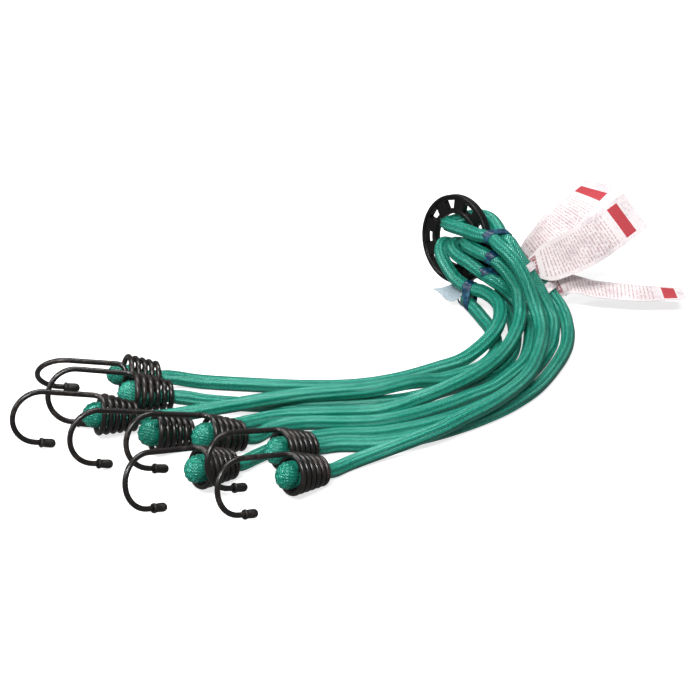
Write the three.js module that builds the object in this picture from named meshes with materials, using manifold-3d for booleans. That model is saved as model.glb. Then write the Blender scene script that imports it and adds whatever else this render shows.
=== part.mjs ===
// Octopus strap: four elastic cords looped through one ring, with eight wire hooks.
// Millimetres, +Z up. The strap lies on a table: the hooks at -X, the ring at +X and +Y.
// The origin is below the middle of the ring, hooks, ties and tags, on the table.
import * as THREE from 'three';
import { mergeVertices } from 'three/addons/utils/BufferGeometryUtils.js';
import Module from 'manifold-3d';

const wasm = await Module();
wasm.setup();

// Driving dimensions.
// Elastic cord
const CORD_D = 8;             // diameter of the free cord
const CORD_SQUEEZED_D = 7;    // diameter of the doubled end inside a coil
const CORD_SIDES = 8;
const STEPS_PER_POINT = 2;    // steps between two points of a route
const CORD_LEAD = 8;          // straight length before a cord meets its coil
const SEAT_GAP = 0.3;         // gap between pieces that touch

// Hook, one bent wire
const WIRE_D = 3;
const WIRE_SIDES = 6;
const COIL_SMALL_R = 6.8;     // wire's centreline radius at the end where the cord enters
const COIL_BIG_R = 10.5;      // and at the end beside the shank
const COIL_TURNS = 5.5;
const COIL_PITCH = 3.9;
const STEPS_PER_TURN = 8;
const GAP_SAMPLES_PER_STEP = 3;
const TURN_IN_R = 5;          // bend between the last turn and the shank
const TURN_IN_STEPS = 3;
const SHANK_L = 27;
const BEND_R = 14.5;
const BEND_STEPS = 9;
const TIP_L = 3;              // bare wire between the bend and the cap

// Moulded cap on the wire's tip
const CAP_L = 8.5;
const CAP_D = 4.8;
const CAP_LIP_D = 5.4;
const CAP_LIP_L = 1.3;
const CAP_BORE_L = 5;
const CAP_NOSE_L = 1.2;
const CAP_SIDES = 10;

// Doubled cord end inside a coil
const END_RETURN_REACH = 3;   // length of the folded-back leg inside the coil
const END_KNOB_REACH = 1;     // straight length that stands out of the coil's big end
const MIDDLE_SHARES = [0.4, 0.7, 1];
const FOLD_STEPS = 7;

// Ring
const RING_D = 54;
const RING_BAND_W = 11.3;     // from the hole's edge to the outer edge
const RING_HOLE_D = RING_D - 2 * RING_BAND_W;
const RING_T = 3;             // thickness of the flat band
const RING_RIM_W = 2;         // width of the raised rims
const RING_RIM_H = 0.9;       // height of a rim over the band
const RING_CORNER = 0.5;      // chamfer on the rims' edges
const RING_SIDES = 36;
const RIM_PLACE = [81.56, 50.70, 31.92];  // the point of its outer edge that the loops go round
const RIM_ANGLE = -40;        // and its direction from the ring's middle, from across to up
const RING_OUT_SHARES = [-0.722, -0.66, 0.2045];  // direction out of the front face
const RING_UP_SHARES = [-0.208, 0.489, 0.847];    // direction up in the ring's plane
const WINDOW_COUNT = 9;
const WINDOW_H = 5.2;         // radial height
const WINDOW_OUTER_W = 8.2;
const WINDOW_INNER_W = 4.8;
const WINDOW_FIRST_ANGLE = 13.9;
const CUT_OVERRUN = 1;
const JOIN_WITHIN = 1e-5;     // points nearer than this are one point

// Ties that hold the two legs of a loop together
const TIE_W = 3.2;
const TIE_T = 0.5;
const TIE_ARC_STEPS = 7;

// Paper flag tags
const TAG_T = 0.5;
const TAG_W = 26;
const TAG_L = 85;
const TAG_WRAP_SLACK = 1.3;   // room between the cord and the paper round it
const TAG_WRAP_ANGLE = 290;
const TAG_WRAP_STEPS = 10;
const TAG_STEPS_PER_PLACE = 3;

// Materials.
const look = (color, roughness, metalness = 0) =>
  new THREE.MeshStandardMaterial({ color, roughness, metalness });
const braid = look(0x3f9c86, 0.75);
const wireCoat = look(0x1b1a1b, 0.35);
const capPlastic = look(0x222124, 0.55);
const ringPlastic = look(0x161618, 0.45);
const tieFilm = look(0x1d3a52, 0.25);
const paper = look(0xe9e2e2, 0.7);

// Helpers.
const V = (x, y, z) => new THREE.Vector3(x, y, z);
const vec = (p) => V(p[0], p[1], p[2]);
const rad = THREE.MathUtils.degToRad;

// A curve through given points, with one tube step from each point to the next.
class PointPath extends THREE.Curve {
  constructor(points) {
    super();
    this.points = points;
  }
  getPoint(t, target = new THREE.Vector3()) {
    const last = this.points.length - 1;
    const i = Math.min(Math.floor(t * last + 1e-9), last - 1);
    return target.lerpVectors(this.points[i], this.points[i + 1], t * last - i);
  }
  getPointAt(u, target) {
    return this.getPoint(u, target);
  }
  getTangent(t, target = new THREE.Vector3()) {
    const last = this.points.length - 1;
    const i = Math.round(t * last);
    const before = this.points[Math.max(i - 1, 0)];
    const after = this.points[Math.min(i + 1, last)];
    return target.subVectors(after, before).normalize();
  }
  getTangentAt(u, target) {
    return this.getTangent(u, target);
  }
}

function polygon(radius, sides) {
  const corners = [];
  for (let i = 0; i < sides; i += 1) {
    const a = ((i + 0.5) * 2 * Math.PI) / sides;
    corners.push(new THREE.Vector2(radius * Math.cos(a), radius * Math.sin(a)));
  }
  return new THREE.Shape(corners);
}

function tube(points, diameter, sides) {
  return new THREE.ExtrudeGeometry(polygon(diameter / 2, sides), {
    steps: points.length - 1,
    extrudePath: new PointPath(points),
    curveSegments: sides,
  });
}

function smooth(points, stepsPerPoint) {
  const curve = new THREE.CatmullRomCurve3(points, false, 'centripetal');
  return curve.getPoints((points.length - 1) * stepsPerPoint);
}

function toManifold(geometry) {
  const bare = geometry.clone();
  bare.deleteAttribute('normal');
  bare.deleteAttribute('uv');
  const joined = mergeVertices(bare, JOIN_WITHIN);
  return new wasm.Manifold(
    new wasm.Mesh({
      numProp: 3,
      vertProperties: new Float32Array(joined.attributes.position.array),
      triVerts: new Uint32Array(joined.index.array),
    }),
  );
}

function fromManifold(solid) {
  const mesh = solid.getMesh();
  const geometry = new THREE.BufferGeometry();
  geometry.setAttribute('position', new THREE.BufferAttribute(mesh.vertProperties, 3));
  geometry.setIndex(new THREE.BufferAttribute(mesh.triVerts, 1));
  geometry.computeVertexNormals();
  return geometry;
}

function named(name, geometry, material) {
  const mesh = new THREE.Mesh(geometry, material);
  mesh.name = name;
  return mesh;
}

// Ring.
// Directions of the ring: across and up in its plane, and out of its front face.
const ringOut = vec(RING_OUT_SHARES).normalize();
const ringUp = vec(RING_UP_SHARES).projectOnPlane(ringOut).normalize();
const ringAcross = new THREE.Vector3().crossVectors(ringUp, ringOut);
const rimPlace = vec(RIM_PLACE);
const ringCentre = rimPlace.clone()
  .addScaledVector(ringAcross, (-RING_D / 2) * Math.cos(rad(RIM_ANGLE)))
  .addScaledVector(ringUp, (-RING_D / 2) * Math.sin(rad(RIM_ANGLE)));

// A point given from that place on the outer edge, so that the loops stay where the ring
// grows or shrinks.
function ringPoint([across, up, out]) {
  return rimPlace.clone()
    .addScaledVector(ringAcross, across)
    .addScaledVector(ringUp, up)
    .addScaledVector(ringOut, out);
}

// Turned section: a flat band with a raised rim along its inner and outer edge, front and back.
function ringBody() {
  const inner = RING_HOLE_D / 2;
  const outer = RING_D / 2;
  const band = RING_T / 2;
  const rim = band + RING_RIM_H;
  const front = [
    [inner, rim - RING_CORNER],
    [inner + RING_CORNER, rim],
    [inner + RING_RIM_W, rim],
    [inner + RING_RIM_W, band],
    [outer - RING_RIM_W, band],
    [outer - RING_RIM_W, rim],
    [outer - RING_CORNER, rim],
    [outer, rim - RING_CORNER],
  ];
  const back = front.map(([r, h]) => [r, -h]).reverse();
  const section = [...front, ...back, front[0]].map(([r, h]) => new THREE.Vector2(r, h));
  return new THREE.LatheGeometry(section.reverse(), RING_SIDES);
}

// A window's outline: wide towards the rim, narrow towards the hole, as a prism along Y.
function windowCutter() {
  const middle = (RING_D + RING_HOLE_D) / 4;
  const top = middle + WINDOW_H / 2;
  const foot = middle - WINDOW_H / 2;
  const outline = new THREE.Shape([
    new THREE.Vector2(-WINDOW_INNER_W / 2, foot),
    new THREE.Vector2(WINDOW_INNER_W / 2, foot),
    new THREE.Vector2(WINDOW_OUTER_W / 2, top),
    new THREE.Vector2(0, top + WINDOW_OUTER_W * WINDOW_OUTER_W / (8 * middle)),
    new THREE.Vector2(-WINDOW_OUTER_W / 2, top),
  ]);
  const depth = RING_T + 2 * CUT_OVERRUN;
  const prism = new THREE.ExtrudeGeometry(outline, { depth, bevelEnabled: false });
  return prism.translate(0, 0, -depth / 2).rotateX(-Math.PI / 2);
}

function makeRing() {
  let body = toManifold(ringBody());
  for (let i = 0; i < WINDOW_COUNT; i += 1) {
    const angle = rad(WINDOW_FIRST_ANGLE + (360 / WINDOW_COUNT) * i);
    body = body.subtract(toManifold(windowCutter().rotateY(-angle)));
  }
  const ring = named('ring', fromManifold(body), ringPlastic);
  ring.quaternion.setFromRotationMatrix(
    new THREE.Matrix4().makeBasis(ringAcross, ringOut, ringUp.clone().negate()),
  );
  ring.position.copy(ringCentre);
  return ring;
}

// Cords.
// Each cord runs from one hook through the ring to another hook. Its arms are points on or
// over the table; its loop is given from the ring's edge, across, up and out of the ring. A
// loop's first and last points are where the tie holds its two legs. The first point of an arm
// is its coil's mouth.
const CORDS = [
  {
    hooks: ['a', 'c'],
    arm: [
      [-107, -45, 8.6], [-86, -43, 4.4], [-56, -46, 4.1], [-22, -48.5, 4.1], [5, -47, 4.1],
      [28, -40, 4.1], [51, -27.5, 4.1], [64, -20, 4.6], [74, -13, 8.6], [82, -5, 13],
      [87, 8, 15], [88, 23, 16], [84.5, 35, 16], [78, 43, 16],
    ],
    loop: [
      [-11.4, -14.1, 6.1], [-20.7, -6.6, 7.3], [-25.7, 2.4, 7.8], [-29.2, 11.4, 7], [-30.2, 16.9, 2.5],
      [-29.7, 15.9, -3], [-27.7, 9.9, -7.3], [-26.7, -0.6, -8.2], [-26.2, -13.6, -6], [-21.7, -18.6, 1.1],
      [-15.5, -21.9, 6.6],
    ],
    farArm: [
      [-117, -86, 7.5], [-95, -83, 7], [-66, -79.5, 10.8], [-27, -71, 12.6], [11, -66, 12.6],
      [32, -57, 12], [42, -48.5, 8], [51, -42, 4.6], [63, -35, 4.1], [75, -26.5, 4.1],
      [83, -14, 4.1], [85, 2, 4.1], [83, 17, 4.1], [79, 29, 4.2], [75, 37.5, 5.6],
    ],
  },
  {
    hooks: ['e', 'b'],
    arm: [
      [-58, -106, 7.5], [-43, -93, 4.4], [-30, -87, 4.1], [16, -85, 4.1],
      [50, -70, 4.1], [65, -60, 4.1], [80.5, -49, 4.1], [91.5, -34.5, 4.1],
      [100.4, -19, 4.1], [106.3, 16, 4.1], [105.5, 28, 6], [102, 33.5, 10.3],
      [96, 37.5, 16], [89.5, 37.5, 22.8], [84.7, 39.4, 24.8],
    ],
    loop: [
      [1.3, -8.6, 4.4], [-2.9, -3.4, 6.9], [-7.7, 1.4, 7.5], [-14.7, 6.4, 7.6], [-19.7, 12.4, 6.4],
      [-20.7, 15.4, 1], [-19.7, 12.4, -5], [-14.7, 6.9, -8.3], [-2.9, -3.4, -6.9], [1.3, -8.6, -4.4],
    ],
    farArm: [
      [-98.7, -67.2, 9.2], [-80, -65, 4.8], [-28, -69.5, 4.2],
      [17, -65.5, 4.1], [33, -61.5, 4.1], [56, -49.5, 4.1], [68, -42.5, 4.1],
      [81.5, -32.5, 4.1], [90.5, -18.5, 4.1], [94.8, -4.5, 4.1], [97, 24, 4.1],
      [95.5, 34, 4.2], [92.5, 43, 7], [90.5, 46.8, 14], [90.2, 46, 22.5],
    ],
  },
  {
    hooks: ['d', 'g'],
    arm: [
      [-86, -103, 7.5], [-68, -92, 4.3], [-52, -84.5, 4.1], [-38, -79.5, 4.1],
      [-11, -77, 4.1], [17, -74.8, 4.4], [39, -67.4, 8.4], [50, -61.5, 9.8],
      [73, -44, 12], [88, -22, 12.5], [98, 7, 12.8], [100, 20, 14],
      [100, 28, 18], [98.6, 32.8, 24], [95.1, 35, 29.3], [90.5, 38, 34.5],
    ],
    loop: [
      [9.7, 0.2, 4.4], [3.3, 5.4, 7.1], [-4.7, 10.6, 7.1], [-8.9, 13.2, 5.2], [-11.3, 14.2, 0],
      [-8.7, 13.7, -5.2], [-4.7, 11.9, -7.6], [3.3, 5.7, -7.6], [9.7, 0.2, -4.4],
    ],
    farArm: [
      [-21, -117, 7.5], [-7, -109, 4.3], [16, -108, 4.1], [49, -96, 4.1],
      [78, -77.5, 4.1], [94, -62.5, 4.1], [106, -47, 4.1], [122, -14, 4.1],
      [127, 5, 4.1], [128, 22, 5], [125.5, 34, 9.5], [118, 43, 16.5], [109, 48.5, 23],
      [101.8, 49.2, 28.5], [95.4, 46.8, 33.9],
    ],
  },
  {
    hooks: ['h', 'f'],
    arm: [
      [-15, -140, 7.6], [-1, -127.5, 4.4], [48, -104, 11],
      [62, -94, 13], [78, -81, 14], [99, -52, 14],
      [110, -10, 12.4], [111, 7, 13], [109, 17, 18], [105, 23, 28], [100, 28, 38],
      [93, 34.5, 45.2], [87, 41, 48],
    ],
    loop: [
      [12.1, 12.6, 4.4], [5.3, 15.4, 7.2], [-1.7, 19.1, 7.6], [-17.7, 26.4, 7.5], [-22.7, 27.8, 3.5],
      [-22.2, 28.2, -1.5], [-16.7, 28.9, -7], [-8.7, 28.4, -9], [-0.7, 25.7, -9.7], [5.8, 19.4, -8.2],
      [12.1, 12.6, -4.4],
    ],
    farArm: [
      [-62.5, -133.5, 7.5], [-51.5, -122.5, 4.3], [-34, -108.5, 4.1], [-10, -99.5, 4.1],
      [16, -97.5, 4.1], [49, -85.5, 4.1], [78.5, -65, 4.1],
      [100, -37.5, 4.1], [115, -7, 4.1], [118.5, 9, 4.1], [119.5, 22, 7],
      [116.5, 29.5, 13.5], [111, 34.5, 23], [104, 38.2, 33.3], [97.7, 42.8, 41.8],
      [93.8, 48.2, 46.6],
    ],
  },
];

// How each hook lies: its heading turns from -X towards the viewer at -Y, its tilt lifts the
// bend, and its roll turns the tip about the coil's axis. Degrees.
const HOOKS = {
  a: { heading: 13, tilt: 12, roll: -30 },
  b: { heading: 12.5, tilt: 12.5, roll: 22 },
  c: { heading: 20, tilt: 16, roll: 8 },
  d: { heading: 24, tilt: 16.5, roll: 13 },
  e: { heading: 27, tilt: 17.5, roll: 18 },
  f: { heading: 39, tilt: 17, roll: 18 },
  g: { heading: 37, tilt: 17.5, roll: 18 },
  h: { heading: 38, tilt: 17, roll: 17 },
};

// The hook's own directions: X from the coil to the bend, Z to the shank.
function hookTurn({ heading, tilt, roll }) {
  const h = rad(heading);
  const t = rad(tilt);
  const along = V(-Math.cos(h) * Math.cos(t), -Math.sin(h) * Math.cos(t), Math.sin(t));
  const side = new THREE.Vector3().crossVectors(V(0, 0, 1), along).normalize();
  const up = new THREE.Vector3().crossVectors(along, side);
  const level = new THREE.Matrix4().makeBasis(along, side, up);
  return new THREE.Quaternion()
    .setFromRotationMatrix(level)
    .multiply(new THREE.Quaternion().setFromAxisAngle(V(1, 0, 0), rad(roll)));
}

// The straight lead in front of a coil, in line with the hook, so that the cord enters square.
function leadPoint(mouth, hook) {
  const along = V(1, 0, 0).applyQuaternion(hookTurn(hook));
  return mouth.clone().addScaledVector(along, -CORD_LEAD);
}

function routeOf({ hooks, arm, loop, farArm }) {
  const near = arm.map(vec);
  const far = farArm.map(vec);
  near.splice(1, 0, leadPoint(near[0], HOOKS[hooks[0]]));
  far.splice(1, 0, leadPoint(far[0], HOOKS[hooks[1]]));
  return [...near, ...loop.map(ringPoint), ...far.reverse()];
}

function lengthOf(points) {
  let length = 0;
  for (let i = 1; i < points.length; i += 1) length += points[i].distanceTo(points[i - 1]);
  return length;
}

// The smoothed route, with one straight step in each lead.
function smoothRoute(points) {
  const route = smooth(points, STEPS_PER_POINT);
  route.splice(1, STEPS_PER_POINT - 1);
  route.splice(-STEPS_PER_POINT, STEPS_PER_POINT - 1);
  return route;
}

// Where the point of that number, counted from either end, is in the smoothed route.
const spotOf = (number) => 1 + (number - 1) * STEPS_PER_POINT;

const routes = CORDS.map((cord) => smoothRoute(routeOf(cord)));

// Hooks.
// One wire: a coil that widens towards the shank, a quarter bend on the coil's own cylinder
// that turns the wire along the hook, the shank, a half-round bend and the tip.
function wirePoints() {
  const coilL = COIL_TURNS * COIL_PITCH;
  const turnInAngle = TURN_IN_R / COIL_BIG_R;
  const points = [];
  const coilSteps = COIL_TURNS * STEPS_PER_TURN;
  for (let i = 0; i <= coilSteps; i += 1) {
    const share = i / coilSteps;
    const r = COIL_SMALL_R + (COIL_BIG_R - COIL_SMALL_R) * share;
    const a = turnInAngle + (1 - share) * 2 * Math.PI * COIL_TURNS;
    points.push(V(share * coilL, r * Math.sin(a), r * Math.cos(a)));
  }
  for (let i = 1; i <= TURN_IN_STEPS; i += 1) {
    const f = (i / TURN_IN_STEPS) * (Math.PI / 2);
    const a = turnInAngle * (1 - Math.sin(f));
    const x = coilL + TURN_IN_R * (1 - Math.cos(f));
    points.push(V(x, COIL_BIG_R * Math.sin(a), COIL_BIG_R * Math.cos(a)));
  }
  const bendX = coilL + TURN_IN_R + SHANK_L;
  const bendZ = COIL_BIG_R - BEND_R;
  for (let i = 0; i <= BEND_STEPS; i += 1) {
    const f = (i / BEND_STEPS) * Math.PI;
    points.push(V(bendX + BEND_R * Math.sin(f), 0, bendZ + BEND_R * Math.cos(f)));
  }
  const inCap = CAP_BORE_L - SEAT_GAP;
  points.push(V(bendX - TIP_L - inCap, 0, bendZ - BEND_R));
  return points;
}

// Least gap between two stretches of the wire that are more than half a turn apart.
function leastGap(points, diameter) {
  const apart = (STEPS_PER_TURN / 2 + 1) * GAP_SAMPLES_PER_STEP;
  const fine = smooth(points, GAP_SAMPLES_PER_STEP);
  let least = Infinity;
  for (let i = 0; i < fine.length; i += 1) {
    for (let j = i + apart; j < fine.length; j += 1) {
      least = Math.min(least, fine[i].distanceTo(fine[j]));
    }
  }
  return least - diameter;
}

function capBody() {
  const bore = (WIRE_D / 2 + SEAT_GAP) / Math.cos(Math.PI / CAP_SIDES);
  const profile = [
    [0, CAP_BORE_L],
    [bore, CAP_BORE_L],
    [bore, 0],
    [CAP_LIP_D / 2, 0],
    [CAP_LIP_D / 2, CAP_LIP_L],
    [CAP_D / 2, CAP_LIP_L],
    [CAP_D / 2, CAP_L - CAP_NOSE_L],
    [CAP_D / 2 - CAP_NOSE_L / 2, CAP_L - CAP_NOSE_L / 3],
    [0, CAP_L],
  ].map(([r, y]) => new THREE.Vector2(r, y));
  return new THREE.LatheGeometry(profile, CAP_SIDES);
}

// How far below the coil's axis a cord lies on the wire, where the turns' flats are nearest.
function seatDrop(share, diameter) {
  const centreline = COIL_SMALL_R + (COIL_BIG_R - COIL_SMALL_R) * share;
  const inner = centreline * Math.cos(Math.PI / STEPS_PER_TURN) - WIRE_D / 2;
  return inner - diameter / 2 - SEAT_GAP;
}

const mouthDrop = seatDrop(0, CORD_D);

// The cord's end goes through the coil along its lower side, folds over outside the big end
// and comes back into the coil above itself.
function doubledEndPoints() {
  const coilL = COIL_TURNS * COIL_PITCH;
  const foldR = (CORD_SQUEEZED_D + SEAT_GAP) / 2;
  const onWire = (x) => -seatDrop(x / coilL, CORD_SQUEEZED_D);
  const points = [V(SEAT_GAP, 0, -mouthDrop), V(CORD_SQUEEZED_D / 2, 0, -mouthDrop)];
  for (const share of MIDDLE_SHARES) points.push(V(coilL * share, 0, onWire(coilL * share)));
  const foldX = coilL + END_KNOB_REACH;
  const foldZ = onWire(coilL) + foldR;
  for (let i = 0; i <= FOLD_STEPS; i += 1) {
    const f = (i / FOLD_STEPS) * Math.PI;
    points.push(V(foldX + foldR * Math.sin(f), 0, foldZ - foldR * Math.cos(f)));
  }
  const tailX = coilL - END_RETURN_REACH;
  points.push(V(tailX, 0, onWire(tailX) + 2 * foldR));
  return points;
}

const wire = wirePoints();
const hookGeometry = tube(wire, WIRE_D, WIRE_SIDES);
const capGeometry = capBody();
const endGeometry = tube(doubledEndPoints(), CORD_SQUEEZED_D, CORD_SIDES);

function makeHook(letter, mouth) {
  const group = new THREE.Group();
  group.quaternion.copy(hookTurn(HOOKS[letter]));
  const entry = V(0, 0, mouthDrop).applyQuaternion(group.quaternion);
  group.position.copy(mouth).add(entry);
  const cap = named(`tip_cap_${letter}`, capGeometry, capPlastic);
  cap.rotation.z = Math.PI / 2;
  cap.position.set(
    COIL_TURNS * COIL_PITCH + TURN_IN_R + SHANK_L - TIP_L,
    0,
    COIL_BIG_R - 2 * BEND_R,
  );
  group.add(named(`hook_${letter}`, hookGeometry, wireCoat));
  group.add(cap);
  group.add(named(`cord_end_${letter}`, endGeometry, braid));
  return group;
}

// Ties.
// A band round the two legs of a loop: two half rounds and the straights between them.
function stadium(halfSpan, radius) {
  const corners = [];
  for (const side of [1, -1]) {
    for (let i = 0; i <= TIE_ARC_STEPS; i += 1) {
      const a = (i / TIE_ARC_STEPS) * Math.PI - Math.PI / 2;
      corners.push(new THREE.Vector2(
        side * (halfSpan + radius * Math.cos(a)),
        side * radius * Math.sin(a),
      ));
    }
  }
  return corners;
}

// Where a route goes through a plane, near one of its points, and its direction there.
function crossing(route, near, origin, axis) {
  const height = (i) => route[i].clone().sub(origin).dot(axis);
  let i = near;
  while (height(i) * height(i + 1) > 0) {
    i += Math.abs(height(i + 1)) < Math.abs(height(i)) ? 1 : -1;
  }
  const share = height(i) / (height(i) - height(i + 1));
  return {
    at: route[i].clone().lerp(route[i + 1], share),
    direction: route[i + 1].clone().sub(route[i]).normalize(),
  };
}

function makeTie(index, { arm, loop }) {
  const route = routes[index];
  const first = spotOf(arm.length + 1);
  const last = spotOf(arm.length + loop.length);
  const middle = route[first].clone().add(route[last]).multiplyScalar(0.5);
  const inward = route[first + 1].clone().sub(route[first - 1]).normalize();
  const outward = route[last + 1].clone().sub(route[last - 1]).normalize();
  const axis = inward.clone().sub(outward).normalize();
  const legs = [first, last].map((near) => crossing(route, near, middle, axis));
  const lean = Math.max(...legs.map(({ direction }) => Math.acos(Math.abs(direction.dot(axis)))));
  const inner = CORD_D / 2 / Math.cos(lean) + SEAT_GAP + (TIE_W / 2) * Math.tan(lean);
  const across = legs[1].at.clone().sub(legs[0].at);
  const halfSpan = across.length() / 2;
  const outline = new THREE.Shape(stadium(halfSpan, inner + TIE_T));
  outline.holes.push(new THREE.Path(stadium(halfSpan, inner)));
  const geometry = new THREE.ExtrudeGeometry(outline, { depth: TIE_W, bevelEnabled: false });
  geometry.translate(0, 0, -TIE_W / 2);
  const tie = named(`tie_${index + 1}`, geometry, tieFilm);
  tie.position.copy(legs[0].at).add(legs[1].at).multiplyScalar(0.5);
  across.normalize();
  const up = new THREE.Vector3().crossVectors(axis, across);
  tie.quaternion.setFromRotationMatrix(new THREE.Matrix4().makeBasis(across, up, axis));
  return tie;
}

// Tags.
// A strip of paper that goes round a cord's far leg and stands off as a flag. It sits at a
// numbered point of the route, counted from the far hook. The flag runs through places given
// from the wrap's middle as shares of its length, each with the direction of its width and a
// share of its full width.
const TAGS = [
  {
    cord: 2, number: 14,
    placeShares: [[0.11, 0.12, 0.1], [0.36, 0.43, 0.2], [0.63, 0.75, 0.3]],
    edgeShares: [[-0.78, -0.1, 0.6], [-0.8, 0.3, 0.25], [-0.74, 0.65, -0.18]],
    widthShares: [0.34, 0.6, 1, 1],
  },
  {
    cord: 3, number: 14,
    placeShares: [[0.185, 0.095, 0.01], [0.46, 0.32, 0.03], [0.82, 0.58, 0.17]],
    edgeShares: [[-0.52, 0.36, 0.72], [-0.57, 0.41, 0.71], [-0.65, 0.38, 0.66]],
    widthShares: [0.36, 0.65, 1, 1],
  },
  {
    cord: 2, number: 12,
    placeShares: [[0.12, 0.07, 0.02], [0.35, 0.09, -0.04], [0.65, 0.07, -0.06], [0.97, 0.06, -0.06]],
    edgeShares: [[-0.5, 0.7, 0.3], [-0.1, 1, -0.05], [0, 1, -0.1], [0, 1, -0.24]],
    widthShares: [0.42, 0.45, 0.9, 1, 1],
  },
  {
    cord: 0, number: 17,
    placeShares: [[-0.1, 0, 0.04], [-0.23, 0.02, 0.06]],
    edgeShares: [[0, 1, 0.2], [0.2, 1, 0.4]],
    widthShares: [0.2, 0.3, 0.4],
  },
];

function sheet(stations, thickness) {
  const corners = [];
  for (const { at, along, wide, width } of stations) {
    const up = new THREE.Vector3().crossVectors(along, wide).normalize();
    for (const [w, u] of [[-1, -1], [1, -1], [1, 1], [-1, 1]]) {
      corners.push(at.clone()
        .addScaledVector(wide, (w * width) / 2)
        .addScaledVector(up, (u * thickness) / 2));
    }
  }
  const index = [0, 2, 1, 0, 3, 2];
  for (let s = 0; s + 1 < stations.length; s += 1) {
    for (let c = 0; c < 4; c += 1) {
      const a = 4 * s + c;
      const b = 4 * s + ((c + 1) % 4);
      index.push(a, b, b + 4, a, b + 4, a + 4);
    }
  }
  const e = 4 * (stations.length - 1);
  index.push(e, e + 1, e + 2, e, e + 2, e + 3);
  const geometry = new THREE.BufferGeometry().setFromPoints(corners);
  geometry.setIndex(index);
  geometry.computeVertexNormals();
  return geometry;
}

// The wrap ends where a straight line from the flag's first place just meets it.
function tagStations(centre, axis, { placeShares, edgeShares, widthShares }) {
  const places = placeShares.map((p) => vec(p).multiplyScalar(TAG_L).add(centre));
  const radius = CORD_D / 2 + TAG_WRAP_SLACK;
  const aim = places[0].clone().sub(centre).projectOnPlane(axis);
  const leave = Math.acos(radius / aim.length());
  const spoke = aim.clone().normalize().applyAxisAngle(axis, leave);
  const along = new THREE.Vector3().crossVectors(spoke, axis);
  const stations = [];
  for (let i = TAG_WRAP_STEPS; i >= 0; i -= 1) {
    const a = rad(TAG_WRAP_ANGLE) * (i / TAG_WRAP_STEPS);
    stations.push({
      at: centre.clone().addScaledVector(spoke.clone().applyAxisAngle(axis, a), radius),
      along: along.clone().applyAxisAngle(axis, a),
      wide: axis,
      width: TAG_W * widthShares[0],
    });
  }
  const start = stations[stations.length - 1].at;
  const line = smooth([start, ...places], TAG_STEPS_PER_PLACE);
  const edges = [axis, ...edgeShares.map((p) => vec(p).normalize())];
  for (let i = 1; i < line.length; i += 1) {
    const run = line[Math.min(i + 1, line.length - 1)].clone().sub(line[i - 1]).normalize();
    const k = Math.ceil(i / TAG_STEPS_PER_PLACE);
    const share = i / TAG_STEPS_PER_PLACE - (k - 1);
    const wide = edges[k - 1].clone().lerp(edges[k], share).projectOnPlane(run).normalize();
    const width = TAG_W * THREE.MathUtils.lerp(widthShares[k - 1], widthShares[k], share);
    stations.push({ at: line[i], along: run, wide, width });
  }
  return stations;
}

function makeTag(index, tag) {
  const route = [...routes[tag.cord]].reverse();
  const spot = spotOf(tag.number);
  const axis = route[spot + 1].clone().sub(route[spot - 1]).normalize();
  return named(`tag_${index + 1}`, sheet(tagStations(route[spot], axis, tag), TAG_T), paper);
}

// Assembly.
const strap = new THREE.Group();
const pieces = new THREE.Group();
strap.add(pieces);

pieces.add(makeRing());
CORDS.forEach((cord, i) => {
  pieces.add(makeTie(i, cord));
  pieces.add(makeHook(cord.hooks[0], vec(cord.arm[0])));
  pieces.add(makeHook(cord.hooks[1], vec(cord.farArm[0])));
});
TAGS.forEach((tag, i) => pieces.add(makeTag(i, tag)));

// The origin goes below the middle of everything but the cords, on the table.
pieces.updateMatrixWorld(true);
const box = new THREE.Box3().setFromObject(pieces, true);
const middle = box.getCenter(new THREE.Vector3());
strap.position.set(-middle.x, -middle.y, -box.min.z);
routes.forEach((route, i) => {
  strap.add(named(`cord_${i + 1}`, tube(route, CORD_D, CORD_SIDES), braid));
  console.log(`cord ${i + 1}: ${lengthOf(route).toFixed(0)} mm from coil to coil`);
});
console.log(`least gap between the turns of a coil: ${leastGap(wire, WIRE_D).toFixed(2)} mm`);

export default strap;
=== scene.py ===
# %% [markdown]
# # An octopus strap
#
# Four green elastic cords are looped through one black ring, and each of their eight ends is
# held in the coil of a bent wire hook. Blue film ties each loop, and paper tags hang on the
# cords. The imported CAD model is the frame: it gives every place and size, and each piece
# below stands for one of its nodes. Nothing is fitted by eye, because both are in one frame.

# %% The frame
import math

import bmesh
import bpy
import numpy as np
from mathutils import Matrix, Vector


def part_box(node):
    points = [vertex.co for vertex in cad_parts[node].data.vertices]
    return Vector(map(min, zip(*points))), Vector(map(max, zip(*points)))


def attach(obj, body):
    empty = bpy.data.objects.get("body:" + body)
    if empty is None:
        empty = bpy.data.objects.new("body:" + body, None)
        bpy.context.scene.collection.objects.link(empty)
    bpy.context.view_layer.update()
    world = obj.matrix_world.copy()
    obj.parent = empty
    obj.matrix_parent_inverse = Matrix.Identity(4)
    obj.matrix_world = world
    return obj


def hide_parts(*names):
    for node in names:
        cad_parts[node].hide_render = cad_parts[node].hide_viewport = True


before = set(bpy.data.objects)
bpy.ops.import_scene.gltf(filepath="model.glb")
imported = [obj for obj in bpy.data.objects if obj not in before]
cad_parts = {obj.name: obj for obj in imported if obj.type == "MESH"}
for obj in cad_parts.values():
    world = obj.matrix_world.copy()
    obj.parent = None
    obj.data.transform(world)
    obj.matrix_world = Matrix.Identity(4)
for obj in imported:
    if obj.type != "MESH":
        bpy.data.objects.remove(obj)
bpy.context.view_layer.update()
MM = 0.001


def unit(v):
    v = np.asarray(v, float)
    return v / np.linalg.norm(v)


# %% [markdown]
# The strap was drawn in a layout of its own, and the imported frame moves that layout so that
# its origin is below the middle. The ring's own box tells how far: its middle is the ring's
# centre, which the layout gives from one point of the ring's outer edge.

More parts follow.
